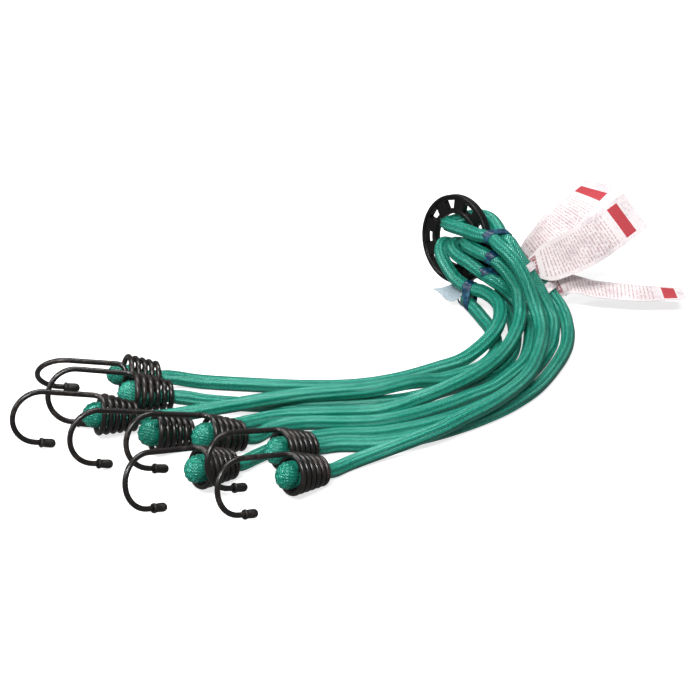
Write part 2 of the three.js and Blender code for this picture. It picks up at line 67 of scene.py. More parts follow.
# %% The ring's directions and the way from the layout to the frame
RING_R = 27 * MM
RIM_PLACE = np.array((0.08156, 0.0507, 0.03192))
RIM_ANGLE = math.radians(-40)
ring_out = unit((-0.722, -0.66, 0.2045))
ring_up = np.array((-0.208, 0.489, 0.847))
ring_up = unit(ring_up - ring_up.dot(ring_out) * ring_out)
ring_across = np.cross(ring_up, ring_out)
to_edge = math.cos(RIM_ANGLE) * ring_across + math.sin(RIM_ANGLE) * ring_up
ring_low, ring_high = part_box("ring")
ring_centre = np.array((ring_low + ring_high) / 2)
rim_place = ring_centre + RING_R * to_edge
shift = rim_place - RIM_PLACE
print(f"layout to frame: {np.round(shift / MM, 2)} mm")


# %% [markdown]
# ## Camera
#
# The photograph looks down at the strap from 30 degrees, with a long lens, from well over a
# metre away. The camera aims at the layout's origin, which is in the middle of the picture.

# %% Camera
CAMERA_DISTANCE = 1.2
CAMERA_TILT = math.radians(30)
FOCAL_PIXELS = 2060
PICTURE_PIXELS = 700
SENSOR_W = 36

lens = bpy.data.cameras.new("camera")
lens.sensor_width = SENSOR_W
lens.lens = FOCAL_PIXELS * SENSOR_W / PICTURE_PIXELS
lens.clip_start = 0.05
lens.clip_end = 50
camera = bpy.data.objects.new("camera", lens)
back = Vector((0, -math.cos(CAMERA_TILT), math.sin(CAMERA_TILT)))
camera.location = Vector(shift) + back * CAMERA_DISTANCE
camera.rotation_euler = (math.pi / 2 - CAMERA_TILT, 0, 0)
bpy.context.scene.collection.objects.link(camera)
bpy.context.scene.camera = camera
print(f"camera lens {lens.lens:.0f} mm")

# %% [markdown]
# ## Where the cords run
#
# The cords come first, because the rest hangs on them. A cord runs from one hook over the
# table, up to the ring, through it and back to another hook. The points are those of the CAD
# model, in metres. A loop's points are given from the ring's edge: across, up and out of the
# ring. The first point of an arm is the mouth of its hook's coil, and a loop's first and last
# points are where the tie holds its two legs together.

# %% The cords' points
CORDS = {
    "cord_1": {
        "hooks": ("a", "c"),
        "arm": [
            (-0.107, -0.045, 0.0086), (-0.086, -0.043, 0.0044), (-0.056, -0.046, 0.0041),
            (-0.022, -0.0485, 0.0041), (0.005, -0.047, 0.0041), (0.028, -0.04, 0.0041),
            (0.051, -0.0275, 0.0041), (0.064, -0.02, 0.0046), (0.074, -0.013, 0.0086),
            (0.082, -0.005, 0.013), (0.087, 0.008, 0.015), (0.088, 0.023, 0.016),
            (0.0845, 0.035, 0.016), (0.078, 0.043, 0.016),
        ],
        "loop": [
            (-0.0114, -0.0141, 0.0061), (-0.0207, -0.0066, 0.0073), (-0.0257, 0.0024, 0.0078),
            (-0.0292, 0.0114, 0.007), (-0.0302, 0.0169, 0.0025), (-0.0297, 0.0159, -0.003),
            (-0.0277, 0.0099, -0.0073), (-0.0267, -0.0006, -0.0082), (-0.0262, -0.0136, -0.006),
            (-0.0217, -0.0186, 0.0011), (-0.0155, -0.0219, 0.0066),
        ],
        "far_arm": [
            (-0.117, -0.086, 0.0075), (-0.095, -0.083, 0.007), (-0.066, -0.0795, 0.0108),
            (-0.027, -0.071, 0.0126), (0.011, -0.066, 0.0126), (0.032, -0.057, 0.012),
            (0.042, -0.0485, 0.008), (0.051, -0.042, 0.0046), (0.063, -0.035, 0.0041),
            (0.075, -0.0265, 0.0041), (0.083, -0.014, 0.0041), (0.085, 0.002, 0.0041),
            (0.083, 0.017, 0.0041), (0.079, 0.029, 0.0042), (0.075, 0.0375, 0.0056),
        ],
    },
    "cord_2": {
        "hooks": ("e", "b"),
        "arm": [
            (-0.058, -0.106, 0.0075), (-0.043, -0.093, 0.0044), (-0.03, -0.087, 0.0041),
            (0.016, -0.085, 0.0041), (0.05, -0.07, 0.0041), (0.065, -0.06, 0.0041),
            (0.0805, -0.049, 0.0041), (0.0915, -0.0345, 0.0041), (0.1004, -0.019, 0.0041),
            (0.1063, 0.016, 0.0041), (0.1055, 0.028, 0.006), (0.102, 0.0335, 0.0103),
            (0.096, 0.0375, 0.016), (0.0895, 0.0375, 0.0228), (0.0847, 0.0394, 0.0248),
        ],
        "loop": [
            (0.0013, -0.0086, 0.0044), (-0.0029, -0.0034, 0.0069), (-0.0077, 0.0014, 0.0075),
            (-0.0147, 0.0064, 0.0076), (-0.0197, 0.0124, 0.0064), (-0.0207, 0.0154, 0.001),
            (-0.0197, 0.0124, -0.005), (-0.0147, 0.0069, -0.0083), (-0.0029, -0.0034, -0.0069),
            (0.0013, -0.0086, -0.0044),
        ],
        "far_arm": [
            (-0.0987, -0.0672, 0.0092), (-0.08, -0.065, 0.0048), (-0.028, -0.0695, 0.0042),
            (0.017, -0.0655, 0.0041), (0.033, -0.0615, 0.0041), (0.056, -0.0495, 0.0041),
            (0.068, -0.0425, 0.0041), (0.0815, -0.0325, 0.0041), (0.0905, -0.0185, 0.0041),
            (0.0948, -0.0045, 0.0041), (0.097, 0.024, 0.0041), (0.0955, 0.034, 0.0042),
            (0.0925, 0.043, 0.007), (0.0905, 0.0468, 0.014), (0.0902, 0.046, 0.0225),
        ],
    },
    "cord_3": {
        "hooks": ("d", "g"),
        "arm": [
            (-0.086, -0.103, 0.0075), (-0.068, -0.092, 0.0043), (-0.052, -0.0845, 0.0041),
            (-0.038, -0.0795, 0.0041), (-0.011, -0.077, 0.0041), (0.017, -0.0748, 0.0044),
            (0.039, -0.0674, 0.0084), (0.05, -0.0615, 0.0098), (0.073, -0.044, 0.012),
            (0.088, -0.022, 0.0125), (0.098, 0.007, 0.0128), (0.1, 0.02, 0.014),
            (0.1, 0.028, 0.018), (0.0986, 0.0328, 0.024), (0.0951, 0.035, 0.0293),
            (0.0905, 0.038, 0.0345),
        ],
        "loop": [
            (0.0097, 0.0002, 0.0044), (0.0033, 0.0054, 0.0071), (-0.0047, 0.0106, 0.0071),
            (-0.0089, 0.0132, 0.0052), (-0.0113, 0.0142, 0), (-0.0087, 0.0137, -0.0052),
            (-0.0047, 0.0119, -0.0076), (0.0033, 0.0057, -0.0076), (0.0097, 0.0002, -0.0044),
        ],
        "far_arm": [
            (-0.021, -0.117, 0.0075), (-0.007, -0.109, 0.0043), (0.016, -0.108, 0.0041),
            (0.049, -0.096, 0.0041), (0.078, -0.0775, 0.0041), (0.094, -0.0625, 0.0041),
            (0.106, -0.047, 0.0041), (0.122, -0.014, 0.0041), (0.127, 0.005, 0.0041),
            (0.128, 0.022, 0.005), (0.1255, 0.034, 0.0095), (0.118, 0.043, 0.0165),
            (0.109, 0.0485, 0.023), (0.1018, 0.0492, 0.0285), (0.0954, 0.0468, 0.0339),
        ],
    },
    "cord_4": {
        "hooks": ("h", "f"),
        "arm": [
            (-0.015, -0.14, 0.0076), (-0.001, -0.1275, 0.0044), (0.048, -0.104, 0.011),
            (0.062, -0.094, 0.013), (0.078, -0.081, 0.014), (0.099, -0.052, 0.014),
            (0.11, -0.01, 0.0124), (0.111, 0.007, 0.013), (0.109, 0.017, 0.018),
            (0.105, 0.023, 0.028), (0.1, 0.028, 0.038), (0.093, 0.0345, 0.0452),
            (0.087, 0.041, 0.048),
        ],
        "loop": [
            (0.0121, 0.0126, 0.0044), (0.0053, 0.0154, 0.0072), (-0.0017, 0.0191, 0.0076),
            (-0.0177, 0.0264, 0.0075), (-0.0227, 0.0278, 0.0035), (-0.0222, 0.0282, -0.0015),
            (-0.0167, 0.0289, -0.007), (-0.0087, 0.0284, -0.009), (-0.0007, 0.0257, -0.0097),
            (0.0058, 0.0194, -0.0082), (0.0121, 0.0126, -0.0044),
        ],
        "far_arm": [
            (-0.0625, -0.1335, 0.0075), (-0.0515, -0.1225, 0.0043), (-0.034, -0.1085, 0.0041),
            (-0.01, -0.0995, 0.0041), (0.016, -0.0975, 0.0041), (0.049, -0.0855, 0.0041),
            (0.0785, -0.065, 0.0041), (0.1, -0.0375, 0.0041), (0.115, -0.007, 0.0041),
            (0.1185, 0.009, 0.0041), (0.1195, 0.022, 0.007), (0.1165, 0.0295, 0.0135),
            (0.111, 0.0345, 0.023), (0.104, 0.0382, 0.0333), (0.0977, 0.0428, 0.0418),
            (0.0938, 0.0482, 0.0466),
        ],
    },
}

# Heading, tilt and roll of each hook, in degrees.
HOOKS = {
    "a": (13, 12, -30),
    "b": (12.5, 12.5, 22),
    "c": (20, 16, 8),
    "d": (24, 16.5, 13),
    "e": (27, 17.5, 18),
    "f": (39, 17, 18),
    "g": (37, 17.5, 18),
    "h": (38, 17, 17),
}
print(f"{len(CORDS)} cords, {len(HOOKS)} hooks")


# %% [markdown]
# A hook lies along its heading, which turns from -X towards the camera; its tilt lifts the
# bend off the table, and its roll turns the tip. These turns make one matrix for each hook,
# with X from the coil to the bend and Z towards the shank.

# %% How each hook lies
def hook_turn(letter):
    heading, tilt, roll = (math.radians(a) for a in HOOKS[letter])
    along = np.array((
        -math.cos(heading) * math.cos(tilt),
        -math.sin(heading) * math.cos(tilt),
        math.sin(tilt),
    ))
    side = unit(np.cross((0, 0, 1), along))
    up = np.cross(along, side)
    level = Matrix((along, side, up)).transposed()
    return level @ Matrix.Rotation(roll, 3, "X")


turns = {letter: hook_turn(letter) for letter in HOOKS}
print("hook a points along", [round(x, 2) for x in turns["a"].col[0]])


# %% [markdown]
# A cord bends as one smooth curve through its points. A centripetal Catmull-Rom curve does
# that without loops or overshoots where points are close together, and it is the same curve
# that the CAD solid follows. Cut into equal short steps, it gives the braid one scale.

# %% A smooth curve through points
def smooth_line(points, steps):
    """The centripetal Catmull-Rom curve through points, with that many steps to each."""
    p = [np.asarray(q, float) for q in points]
    p = [2 * p[0] - p[1], *p, 2 * p[-1] - p[-2]]
    line = []
    for i in range(1, len(p) - 2):
        d0, d1, d2 = (np.linalg.norm(p[i + k] - p[i + k - 1]) ** 0.5 for k in range(3))
        t1 = ((p[i] - p[i - 1]) / d0 - (p[i + 1] - p[i - 1]) / (d0 + d1)) * d1
        t1 = t1 + (p[i + 1] - p[i])
        t2 = ((p[i + 2] - p[i + 1]) / d2 - (p[i + 2] - p[i]) / (d1 + d2)) * d1
        t2 = t2 + (p[i + 1] - p[i])
        for k in range(steps):
            t = k / steps
            a = 2 * t**3 - 3 * t**2 + 1
            b = t**3 - 2 * t**2 + t
            c = 3 * t**2 - 2 * t**3
            d = t**3 - t**2
            line.append(a * p[i] + b * t1 + c * p[i + 1] + d * t2)
    line.append(p[-2])
    return np.array(line)


def lengths_along(line):
    steps = np.linalg.norm(np.diff(line, axis=0), axis=1)
    return np.concatenate([[0], np.cumsum(steps)])


def at_lengths(line, places):
    """The points of a line at these lengths along it."""
    along = lengths_along(line)
    return np.stack([np.interp(places, along, line[:, k]) for k in range(3)], axis=-1)


def directions(line):
    d = np.gradient(line, axis=0)
    return d / np.linalg.norm(d, axis=1)[:, None]


corner = smooth_line([(0, 0, 0), (1, 0, 0), (1, 1, 0)], 20)
print(f"a corner of 2.00 becomes a bend of {lengths_along(corner)[-1]:.2f}")

# %% [markdown]
# A cord leaves its hook's coil straight, so each end has a short straight lead before the
# curve begins. The line is then eased a few times, as a cord has no sudden change of bend.

# %% The cords' lines
CORD_D = 8 * MM
CORD_LEAD = 8 * MM
CORD_STEP = 1.25 * MM
STEPS_PER_POINT = 12
RELAX_PASSES = 6


def ring_point(place):
    across, up, out = place
    return rim_place + across * ring_across + up * ring_up + out * ring_out


def cord_points(cord):
    """All the points of a cord in the frame, with the straight lead at each coil."""
    arms = []
    for letter, name in zip(cord["hooks"], ("arm", "far_arm")):
        arm = [np.array(p) + shift for p in cord[name]]
        lead = arm[0] - CORD_LEAD * np.array(turns[letter].col[0])
        arms.append([arm[0], lead, *arm[1:]])
    return arms[0] + [ring_point(p) for p in cord["loop"]] + arms[1][::-1]


def cord_line(points):
    """Equal steps along the smooth curve, and the length along it at each point."""
    fine = smooth_line(points, STEPS_PER_POINT)
    share = np.arange(STEPS_PER_POINT + 1)[:, None] / STEPS_PER_POINT
    fine[: STEPS_PER_POINT + 1] = points[0] + share * (points[1] - points[0])
    fine[-STEPS_PER_POINT - 1 :] = points[-2] + share * (points[-1] - points[-2])
    along = lengths_along(fine)
    count = math.ceil(along[-1] / CORD_STEP)
    line = at_lengths(fine, np.linspace(0, along[-1], count + 1))
    for _ in range(RELAX_PASSES):
        line[2:-2] = 0.25 * line[1:-3] + 0.5 * line[2:-2] + 0.25 * line[3:-1]
    return line, along[::STEPS_PER_POINT]


lines = {}
point_places = {}
for name, cord in CORDS.items():
    lines[name], point_places[name] = cord_line(cord_points(cord))
    print(f"{name}: {lengths_along(lines[name])[-1]:.3f} m from coil to coil")


# %% [markdown]
# ## Writing a finish as sums
#
# A procedural finish is arithmetic on positions: stripes are a remainder, a weave is two sets
# of stripes, dirt is noise above a level. Node by node that is hard to read. The class below
# wraps a node's output so that plus, minus and times add the Math nodes, and a finish reads
# like a formula. Every other node comes from one method of the finish itself.

# %% Sums on surfaces
class Reading:
    """A number at each point of a surface: an output socket with Python's operators."""

    def __init__(self, finish, socket):
        self.finish = finish
        self.socket = socket

    def math(self, operation, *others):
        sockets = dict(enumerate((self, *others)))
        return self.finish.node("ShaderNodeMath", {"operation": operation}, sockets)

    def __add__(self, other):
        return self.math("ADD", other)

    def __sub__(self, other):
        return self.math("SUBTRACT", other)

    def __rsub__(self, other):
        return self.math("MULTIPLY", -1).math("ADD", other)

    def __mul__(self, other):
        return self.math("MULTIPLY", other)

    def __mod__(self, other):
        return self.math("FLOORED_MODULO", other)

    def __gt__(self, other):
        return self.math("GREATER_THAN", other)

    def __lt__(self, other):
        return self.math("LESS_THAN", other)

    __radd__ = __add__
    __rmul__ = __mul__


print("readings can be added, subtracted, multiplied, compared and divided with a remainder")

# %% [markdown]
# A finish is one material. It keeps the numbers that are the same all over on the shader's own
# sockets, and its methods have the names of what a painter does: noise, colours between two,
# a spread from one level to another, relief.

# %% A finish
class Finish:
    """A material with one Principled shader, and the method that makes its other nodes."""

    def __init__(self, name, **fixed):
        self.material = bpy.data.materials.new(name)
        self.material.use_nodes = True
        self.nodes = self.material.node_tree.nodes
        self.links = self.material.node_tree.links
        self.shader = self.nodes["Principled BSDF"]
        for socket, value in fixed.items():
            self.put(self.shader.inputs[socket.replace("_", " ")], value)

    def put(self, socket, value):
        """Links a reading to a socket, or sets the socket to a number or colour."""
        if isinstance(value, Reading):
            self.links.new(value.socket, socket)
        elif socket.type == "RGBA" and len(value) == 3:
            socket.default_value = (*value, 1)
        else:
            socket.default_value = value

    def node(self, kind, settings, sockets, out=0):
        """Any node: its settings first, then its sockets, by number or identifier."""
        node = self.nodes.new(kind)
        for name, value in settings.items():
            setattr(node, name, value)
        by_name = {socket.identifier: socket for socket in node.inputs}
        for key, value in sockets.items():
            self.put(node.inputs[key] if isinstance(key, int) else by_name[key], value)
        outs = {socket.identifier: socket for socket in node.outputs}
        return Reading(self, node.outputs[out] if isinstance(out, int) else outs[out])

    def place(self, name):
        """The two numbers of a place on the surface, from the mesh's own map."""
        spot = self.node("ShaderNodeUVMap", {"uv_map": name}, {})
        return [self.node("ShaderNodeSeparateXYZ", {}, {0: spot}, out) for out in (0, 1)]

    def noise(self, per_metre, detail=2.0, spot=None):
        """Smooth noise, about 0.3 to 0.7, with that many lumps to a metre of the object."""
        spot = spot or self.node("ShaderNodeTexCoord", {}, {}, "Object")
        sockets = {"Vector": spot, "Scale": per_metre, "Detail": detail}
        return self.node("ShaderNodeTexNoise", {}, sockets)

    def between(self, low, high, share):
        """A colour between two, by a share from 0 to 1."""
        sockets = {"Factor_Float": share, "A_Color": low, "B_Color": high}
        return self.node("ShaderNodeMix", {"data_type": "RGBA"}, sockets, "Result_Color")

    def spread(self, reading, low, high):
        """0 where the reading is low or less, 1 where it is high or more, smooth between."""
        sockets = {"Value": reading, "From Min": low, "From Max": high}
        return self.node("ShaderNodeMapRange", {"interpolation_type": "SMOOTHSTEP"}, sockets)

    def relief(self, height, depth, strength):
        """A bump of that depth, in metres, for the shader's normal."""
        sockets = {"Height": height, "Distance": depth, "Strength": strength}
        self.put(self.shader.inputs["Normal"], self.node("ShaderNodeBump", {}, sockets))

    def colour(self, reading):
        self.put(self.shader.inputs["Base Color"], reading)

    def roughness(self, reading):
        self.put(self.shader.inputs["Roughness"], reading)


def screen_colour(red, green, blue):
    """A colour as a picture has it, 0 to 255, turned into light."""
    return tuple(
        c / 12.92 if c <= 0.04045 else ((c + 0.055) / 1.055) ** 2.4
        for c in (red / 255, green / 255, blue / 255)
    )


print(f"a grey of 128 in a picture is {screen_colour(128, 128, 128)[0]:.2f} of white light")

# %% [markdown]
# ## The braided cover
#
# The cord is a bundle of rubber strands in a tight tubular braid of shiny green yarn. Two sets
# of yarns wind round it, one each way, and each goes over two and under two of the others.
# The mesh carries a map, once round and metres along, so the two sets are simply the sum and
# the difference of its two numbers. That is exact at any scale, where an image would blur.
# The tube below also says where the cover sinks between two strands. Painted shade darkens
# the colour there and in the gaps between the yarns.

# %% Braid finish
YARNS_AROUND = 16
YARN_TURN = 24 * MM
YARN_DEPTH = 0.2 * MM
FADES_PER_M = 38.0
FUZZ_PER_M = 900.0
GROOVE_SHADE = 0.4
GREEN_YARN = screen_colour(22, 160, 134)
GREEN_PAINTED_SHADE = screen_colour(2, 38, 31)
GREEN_WORN = screen_colour(84, 204, 178)

braid = Finish("braided_cover", Specular_IOR_Level=0.85, Specular_Tint=(0.5, 1.0, 0.9))
around, along = braid.place("winding")
one_way = around * YARNS_AROUND + along * (YARNS_AROUND / YARN_TURN)
other_way = around * YARNS_AROUND - along * (YARNS_AROUND / YARN_TURN)


def yarn_height(phase):
    """The round back of a yarn: 0 at its edges and 1 in its middle."""
    across = (phase % 1.0) * 2 - 1
    return 1 - across * across


crossing = (one_way - one_way % 1.0) + (other_way - other_way % 1.0)
over = (crossing % 4.0) < 1.5
weave = over * yarn_height(one_way) + (1 - over) * yarn_height(other_way)
fade = braid.noise(FADES_PER_M)
fuzz = braid.noise(FUZZ_PER_M, 3.0)
worn_yarn = braid.spread(fuzz * 0.7 + fade * 0.3, 0.42, 0.62)
yarn = braid.between(GREEN_YARN, GREEN_WORN, worn_yarn * 0.65)
# Painted shade: how deep each point lies in a hollow between strands, as the tube marks it.
painted_hollow_shade = braid.node("ShaderNodeAttribute", {"attribute_name": "painted_hollow_shade"}, {}, "Fac")
# Painted shade: the colour darkens towards a deep green in the gaps between the yarns.
lit = weave * (0.4 + 0.6 * weave) * (1 - GROOVE_SHADE * painted_hollow_shade)
braid.colour(braid.between(GREEN_PAINTED_SHADE, yarn, lit))
braid.roughness(0.17 + 0.12 * fade + 0.1 * (1 - weave))
braid.relief(weave + 0.3 * fuzz, YARN_DEPTH, 0.8)
print(f"braid: {YARNS_AROUND} yarns each way, {math.pi * CORD_D / YARNS_AROUND / MM:.2f} mm apart")


# %% [markdown]
# ## Tubes
#
# Cords and wires are both tubes along a line. A bevelled curve would do, but a mesh made here
# can carry the braid's map and can swell, flatten or show the strands under the cover. The
# rings are turned as little as possible from one to the next, which keeps the braid straight.

# %% A mesh from points and faces
def new_piece(name, points, faces, finish, spots=None):
    """A smooth mesh object, with the place of each face's corners on the surface."""
    mesh = bpy.data.meshes.new(name)
    mesh.from_pydata([tuple(p) for p in points], [], faces)
    mesh.polygons.foreach_set("use_smooth", [True] * len(faces))
    if spots is not None:
        layer = mesh.uv_layers.new(name="winding")
        layer.data.foreach_set("uv", np.asarray(spots, np.float32).ravel())
    mesh.materials.append(finish.material)
    mesh.update()
    piece = bpy.data.objects.new(name, mesh)
    bpy.context.scene.collection.objects.link(piece)
    return piece


def mesh_only(piece):
    """Deletes a piece and keeps its mesh, to be copied or joined."""
    mesh = piece.data
    bpy.data.objects.remove(piece)
    return mesh


def closed_rings(rings, sides):
    """The faces between rings of points, one ring after the other, and over both ends."""
    faces = []
    for i in range(rings - 1):
        for j in range(sides):
            k = (j + 1) % sides
            faces.append((i * sides + j, i * sides + k, (i + 1) * sides + k, (i + 1) * sides + j))
    last = (rings - 1) * sides
    faces.append(tuple(range(sides - 1, -1, -1)))
    faces.append(tuple(range(last, last + sides)))
    return faces


print("a tube of 2 rings and 6 sides has", len(closed_rings(2, 6)), "faces")


# %% A tube along a line
def frames_along(line, first_side):
    """Two directions across the line at each point, turned as little as possible."""
    forward = directions(line)
    side = np.asarray(first_side, float)
    sides = []
    for d in forward:
        side = unit(side - side.dot(d) * d)
        sides.append(side)
    sides = np.array(sides)
    return sides, np.cross(forward, sides)


def tube(name, line, radii, sides, finish, first_side, turns_round=1, painted_hollow_shades=None):
    """A closed tube. radii and the hollows' painted shade hold a number for each ring and side.

    turns_round is how many times the braid's pattern fits round it.
    """
    across, up = frames_along(line, first_side)
    angle = np.arange(sides) * 2 * math.pi / sides
    radii = np.broadcast_to(radii, (len(line), sides))
    points = (
        line[:, None]
        + (radii * np.cos(angle))[..., None] * across[:, None]
        + (radii * np.sin(angle))[..., None] * up[:, None]
    ).reshape(-1, 3)
    along = lengths_along(line)
    spots = []
    for start, end in zip(along[:-1], along[1:]):
        for j in range(sides):
            u0, u1 = turns_round * j / sides, turns_round * (j + 1) / sides
            spots += [(u0, start), (u1, start), (u1, end), (u0, end)]
    spots += [(j / sides, along[0]) for j in range(sides - 1, -1, -1)]
    spots += [(j / sides, along[-1]) for j in range(sides)]
    piece = new_piece(name, points, closed_rings(len(line), sides), finish, spots)
    if painted_hollow_shades is not None:
        layer = piece.data.attributes.new("painted_hollow_shade", "FLOAT", "POINT")
        layer.data.foreach_set("value", np.asarray(painted_hollow_shades, np.float32).ravel())
    return piece


across, up = frames_along(lines["cord_1"], (0, 0, 1))
print(f"cord_1's first section: {np.round(across[0], 2)} across, {np.round(up[0], 2)} up")

# %% [markdown]
# ## The four cords
#
# Under the cover the strands press lengthwise ridges into the braid, which is where the long
# bands of light on the real cord come from. Seven low ridges in the tube's section, drifting
# slowly round, give those bands real shape, and painted shade darkens the hollows between them.
# A tie presses the ridges flat, and the ends narrow a little into the coils.

# %% Cords
CORD_SIDES = 42
STRANDS = 7
STRAND_RISE = 0.65 * MM
STRAND_SINK = 0.12 * MM
STRAND_DRIFT = 0.3
DRIFT_PLACES = 9
OVAL_RISE = 0.08 * MM
OVAL_PLACES = 30
TIE_FADE = 4 * MM
TIE_HOLD = 0.6
MOUTH_R = 3.75 * MM
MOUTH_L = 5 * MM

rng = np.random.default_rng(7)


def wander(along, low, high, places):
    """A random number at so many places along a cord, and straight lines between."""
    return np.interp(along, np.linspace(0, along[-1], places), rng.uniform(low, high, places))


def tie_places(name):
    """How far along the cord its loop begins and ends, where the tie holds it."""
    arm = len(CORDS[name]["arm"])
    return point_places[name][arm + 1], point_places[name][arm + len(CORDS[name]["loop"])]


def make_cord(name, line):
    along = lengths_along(line)
    angle = np.arange(CORD_SIDES) * 2 * math.pi / CORD_SIDES
    drift = wander(along, 0, 3, DRIFT_PLACES)[:, None]
    ridges = np.cos(STRANDS * angle + STRANDS * STRAND_DRIFT * drift)
    oval = np.cos(2 * angle + drift) * wander(along, -1, 1, OVAL_PLACES)[:, None]
    uneven = STRAND_RISE / 2 * ridges + OVAL_RISE * oval
    from_tie = np.min([abs(along - place) for place in tie_places(name)], axis=0)
    free = np.clip(from_tie / TIE_FADE - TIE_HOLD, 0, 1)[:, None]
    radii = CORD_D / 2 - STRAND_SINK + uneven * free
    from_end = np.minimum(along, along[-1] - along)
    share = np.clip(from_end / MOUTH_L, 0, 1)[:, None]
    share = share * share * (3 - 2 * share)
    radii = MOUTH_R + (radii - MOUTH_R) * share
    # Painted shade: the hollows between the strands, to darken the braid's colour there.
    painted_hollow_shades = ((1 - ridges) / 2) ** 2 * share
    return tube(f"{name}_braid", line, radii, CORD_SIDES, braid, (0, 0, 1), painted_hollow_shades=painted_hollow_shades)


cord_pieces = {}
for name, line in lines.items():
    cord_pieces[name] = make_cord(name, line)
    print(f"{name}_braid: {len(cord_pieces[name].data.polygons)} faces")


# %% [markdown]
# ## Hooks
#
# Each hook is one piece of 3 mm wire in a black coating: a coil of five and a half turns that
# widens, a short turn into the straight shank, a half-round bend and the tip. All eight are
# alike, so one mesh is made and each hook gets a copy of it, moved into place. The finish reads
# the coordinates of the copies, which differ, so that no two hooks are scuffed alike.

# %% Wire finish
WIRE_BLACK = screen_colour(22, 18, 17)
WIRE_SCUFF = screen_colour(70, 58, 53)
PEEL_PER_M = 420.0
PEEL_DEPTH = 0.05 * MM
PATCHES_PER_M = 75.0

wire_coat = Finish("coated_wire", Specular_IOR_Level=0.6)
peel = wire_coat.noise(PEEL_PER_M)
patches = wire_coat.noise(PATCHES_PER_M, 3.0)
scuff = wire_coat.spread(patches * 0.6 + peel * 0.4, 0.5, 0.64)
wire_coat.colour(wire_coat.between(WIRE_BLACK, WIRE_SCUFF, scuff * 0.4))
wire_coat.roughness(0.24 + 0.12 * scuff + 0.1 * peel)
wire_coat.relief(peel + 0.4 * scuff, PEEL_DEPTH, 0.25)
print("wire coat: black with a soft shine")

# %% [markdown]
# The wire's line is written as it would be bent on a machine: round the coil from its narrow
# end, a quarter turn in to the shank, straight, half round the bend, and into the cap.

# %% The hook's wire
WIRE_D = 3 * MM
WIRE_SIDES = 16
COIL_SMALL_R = 6.8 * MM
COIL_BIG_R = 10.5 * MM
COIL_TURNS = 5.5
COIL_PITCH = 3.9 * MM
COIL_L = COIL_TURNS * COIL_PITCH
TURN_STEPS = 28
TURN_IN_R = 5 * MM
TURN_IN_STEPS = 8
SHANK_L = 27 * MM
BEND_R = 14.5 * MM
BEND_STEPS = 24
TIP_L = 3 * MM
IN_CAP_L = 4.5 * MM


def wire_line():
    turn_in = TURN_IN_R / COIL_BIG_R
    line = []
    steps = round(COIL_TURNS * TURN_STEPS)
    for i in range(steps + 1):
        share = i / steps
        r = COIL_SMALL_R + (COIL_BIG_R - COIL_SMALL_R) * share
        a = turn_in + (1 - share) * 2 * math.pi * COIL_TURNS
        line.append((share * COIL_L, r * math.sin(a), r * math.cos(a)))
    for i in range(1, TURN_IN_STEPS + 1):
        f = i / TURN_IN_STEPS * math.pi / 2
        a = turn_in * (1 - math.sin(f))
        x = COIL_L + TURN_IN_R * (1 - math.cos(f))
        line.append((x, COIL_BIG_R * math.sin(a), COIL_BIG_R * math.cos(a)))
    bend_x = COIL_L + TURN_IN_R + SHANK_L
    bend_z = COIL_BIG_R - BEND_R
    for i in range(BEND_STEPS + 1):
        f = i / BEND_STEPS * math.pi
        line.append((bend_x + BEND_R * math.sin(f), 0, bend_z + BEND_R * math.cos(f)))
    line.append((bend_x - TIP_L - IN_CAP_L, 0, bend_z - BEND_R))
    return np.array(line)


hook_line = wire_line()
first_wire = tube("hook_wire", hook_line, WIRE_D / 2, WIRE_SIDES, wire_coat, (1, 0, 0))
hook_mesh = mesh_only(first_wire)
print(f"hook wire: {lengths_along(hook_line)[-1]:.3f} m long, {len(hook_mesh.polygons)} faces")


# %% [markdown]
# ## Tip caps
#
# A moulded plastic cap is pushed on each tip: a raised lip where the wire goes in, a body that
# swells slightly, and a domed end. It is turned from a profile, and every corner of the
# profile is cut by a small radius, because a sharp corner never catches the light.

# %% Cap finish and cap
CAP_BLACK = screen_colour(25, 23, 22)
CAP_WORN = screen_colour(60, 55, 52)
GRAINS_PER_M = 1500.0
GRAIN_DEPTH = 0.09 * MM
WEAR_PER_M = 260.0

cap_coat = Finish("cap_plastic", Specular_IOR_Level=0.45)
grain = cap_coat.noise(GRAINS_PER_M, 3.0)
worn = cap_coat.spread(cap_coat.noise(WEAR_PER_M, 3.0), 0.5, 0.68)
cap_coat.colour(cap_coat.between(CAP_BLACK, CAP_WORN, worn * 0.6))
cap_coat.roughness(0.36 + 0.2 * grain)
cap_coat.relief(grain + 0.5 * worn, GRAIN_DEPTH, 0.8)


def turned(name, profile, sides, finish):
    """A closed surface turned about X from (distance along X, radius)."""
    points = []
    for x, r in profile:
        for j in range(sides):
            a = j * 2 * math.pi / sides
            points.append((x, r * math.cos(a), r * math.sin(a)))
    return new_piece(name, points, closed_rings(len(profile), sides), finish)


CAP_SIDES = 24
CAP_PROFILE = [
    (0, 1.75), (0.1, 2.45), (-0.28, 2.66), (-1.0, 2.7), (-1.25, 2.62), (-1.5, 2.34),
    (-2.2, 2.3), (-4.5, 2.4), (-6.4, 2.42), (-7.3, 2.2), (-8.0, 1.7), (-8.4, 1.05),
    (-8.6, 0.4),
]
profile = [(x * MM, r * MM) for x, r in CAP_PROFILE]
cap_mesh = mesh_only(turned("tip_cap", profile, CAP_SIDES, cap_coat))
# The profile runs towards -X, so its faces come out inside out.
cap_mesh.flip_normals()
print(f"tip cap: {len(cap_mesh.polygons)} faces")

# %% [markdown]
# ## The cord's end in its coil
#
# The end of the cord goes through the coil, folds over outside its wide end and comes back
# into the coil, so that the coil grips it double and it can't pull out. It is one tube along
# that path, squeezed where the turns press on it and full where it is free at the fold.

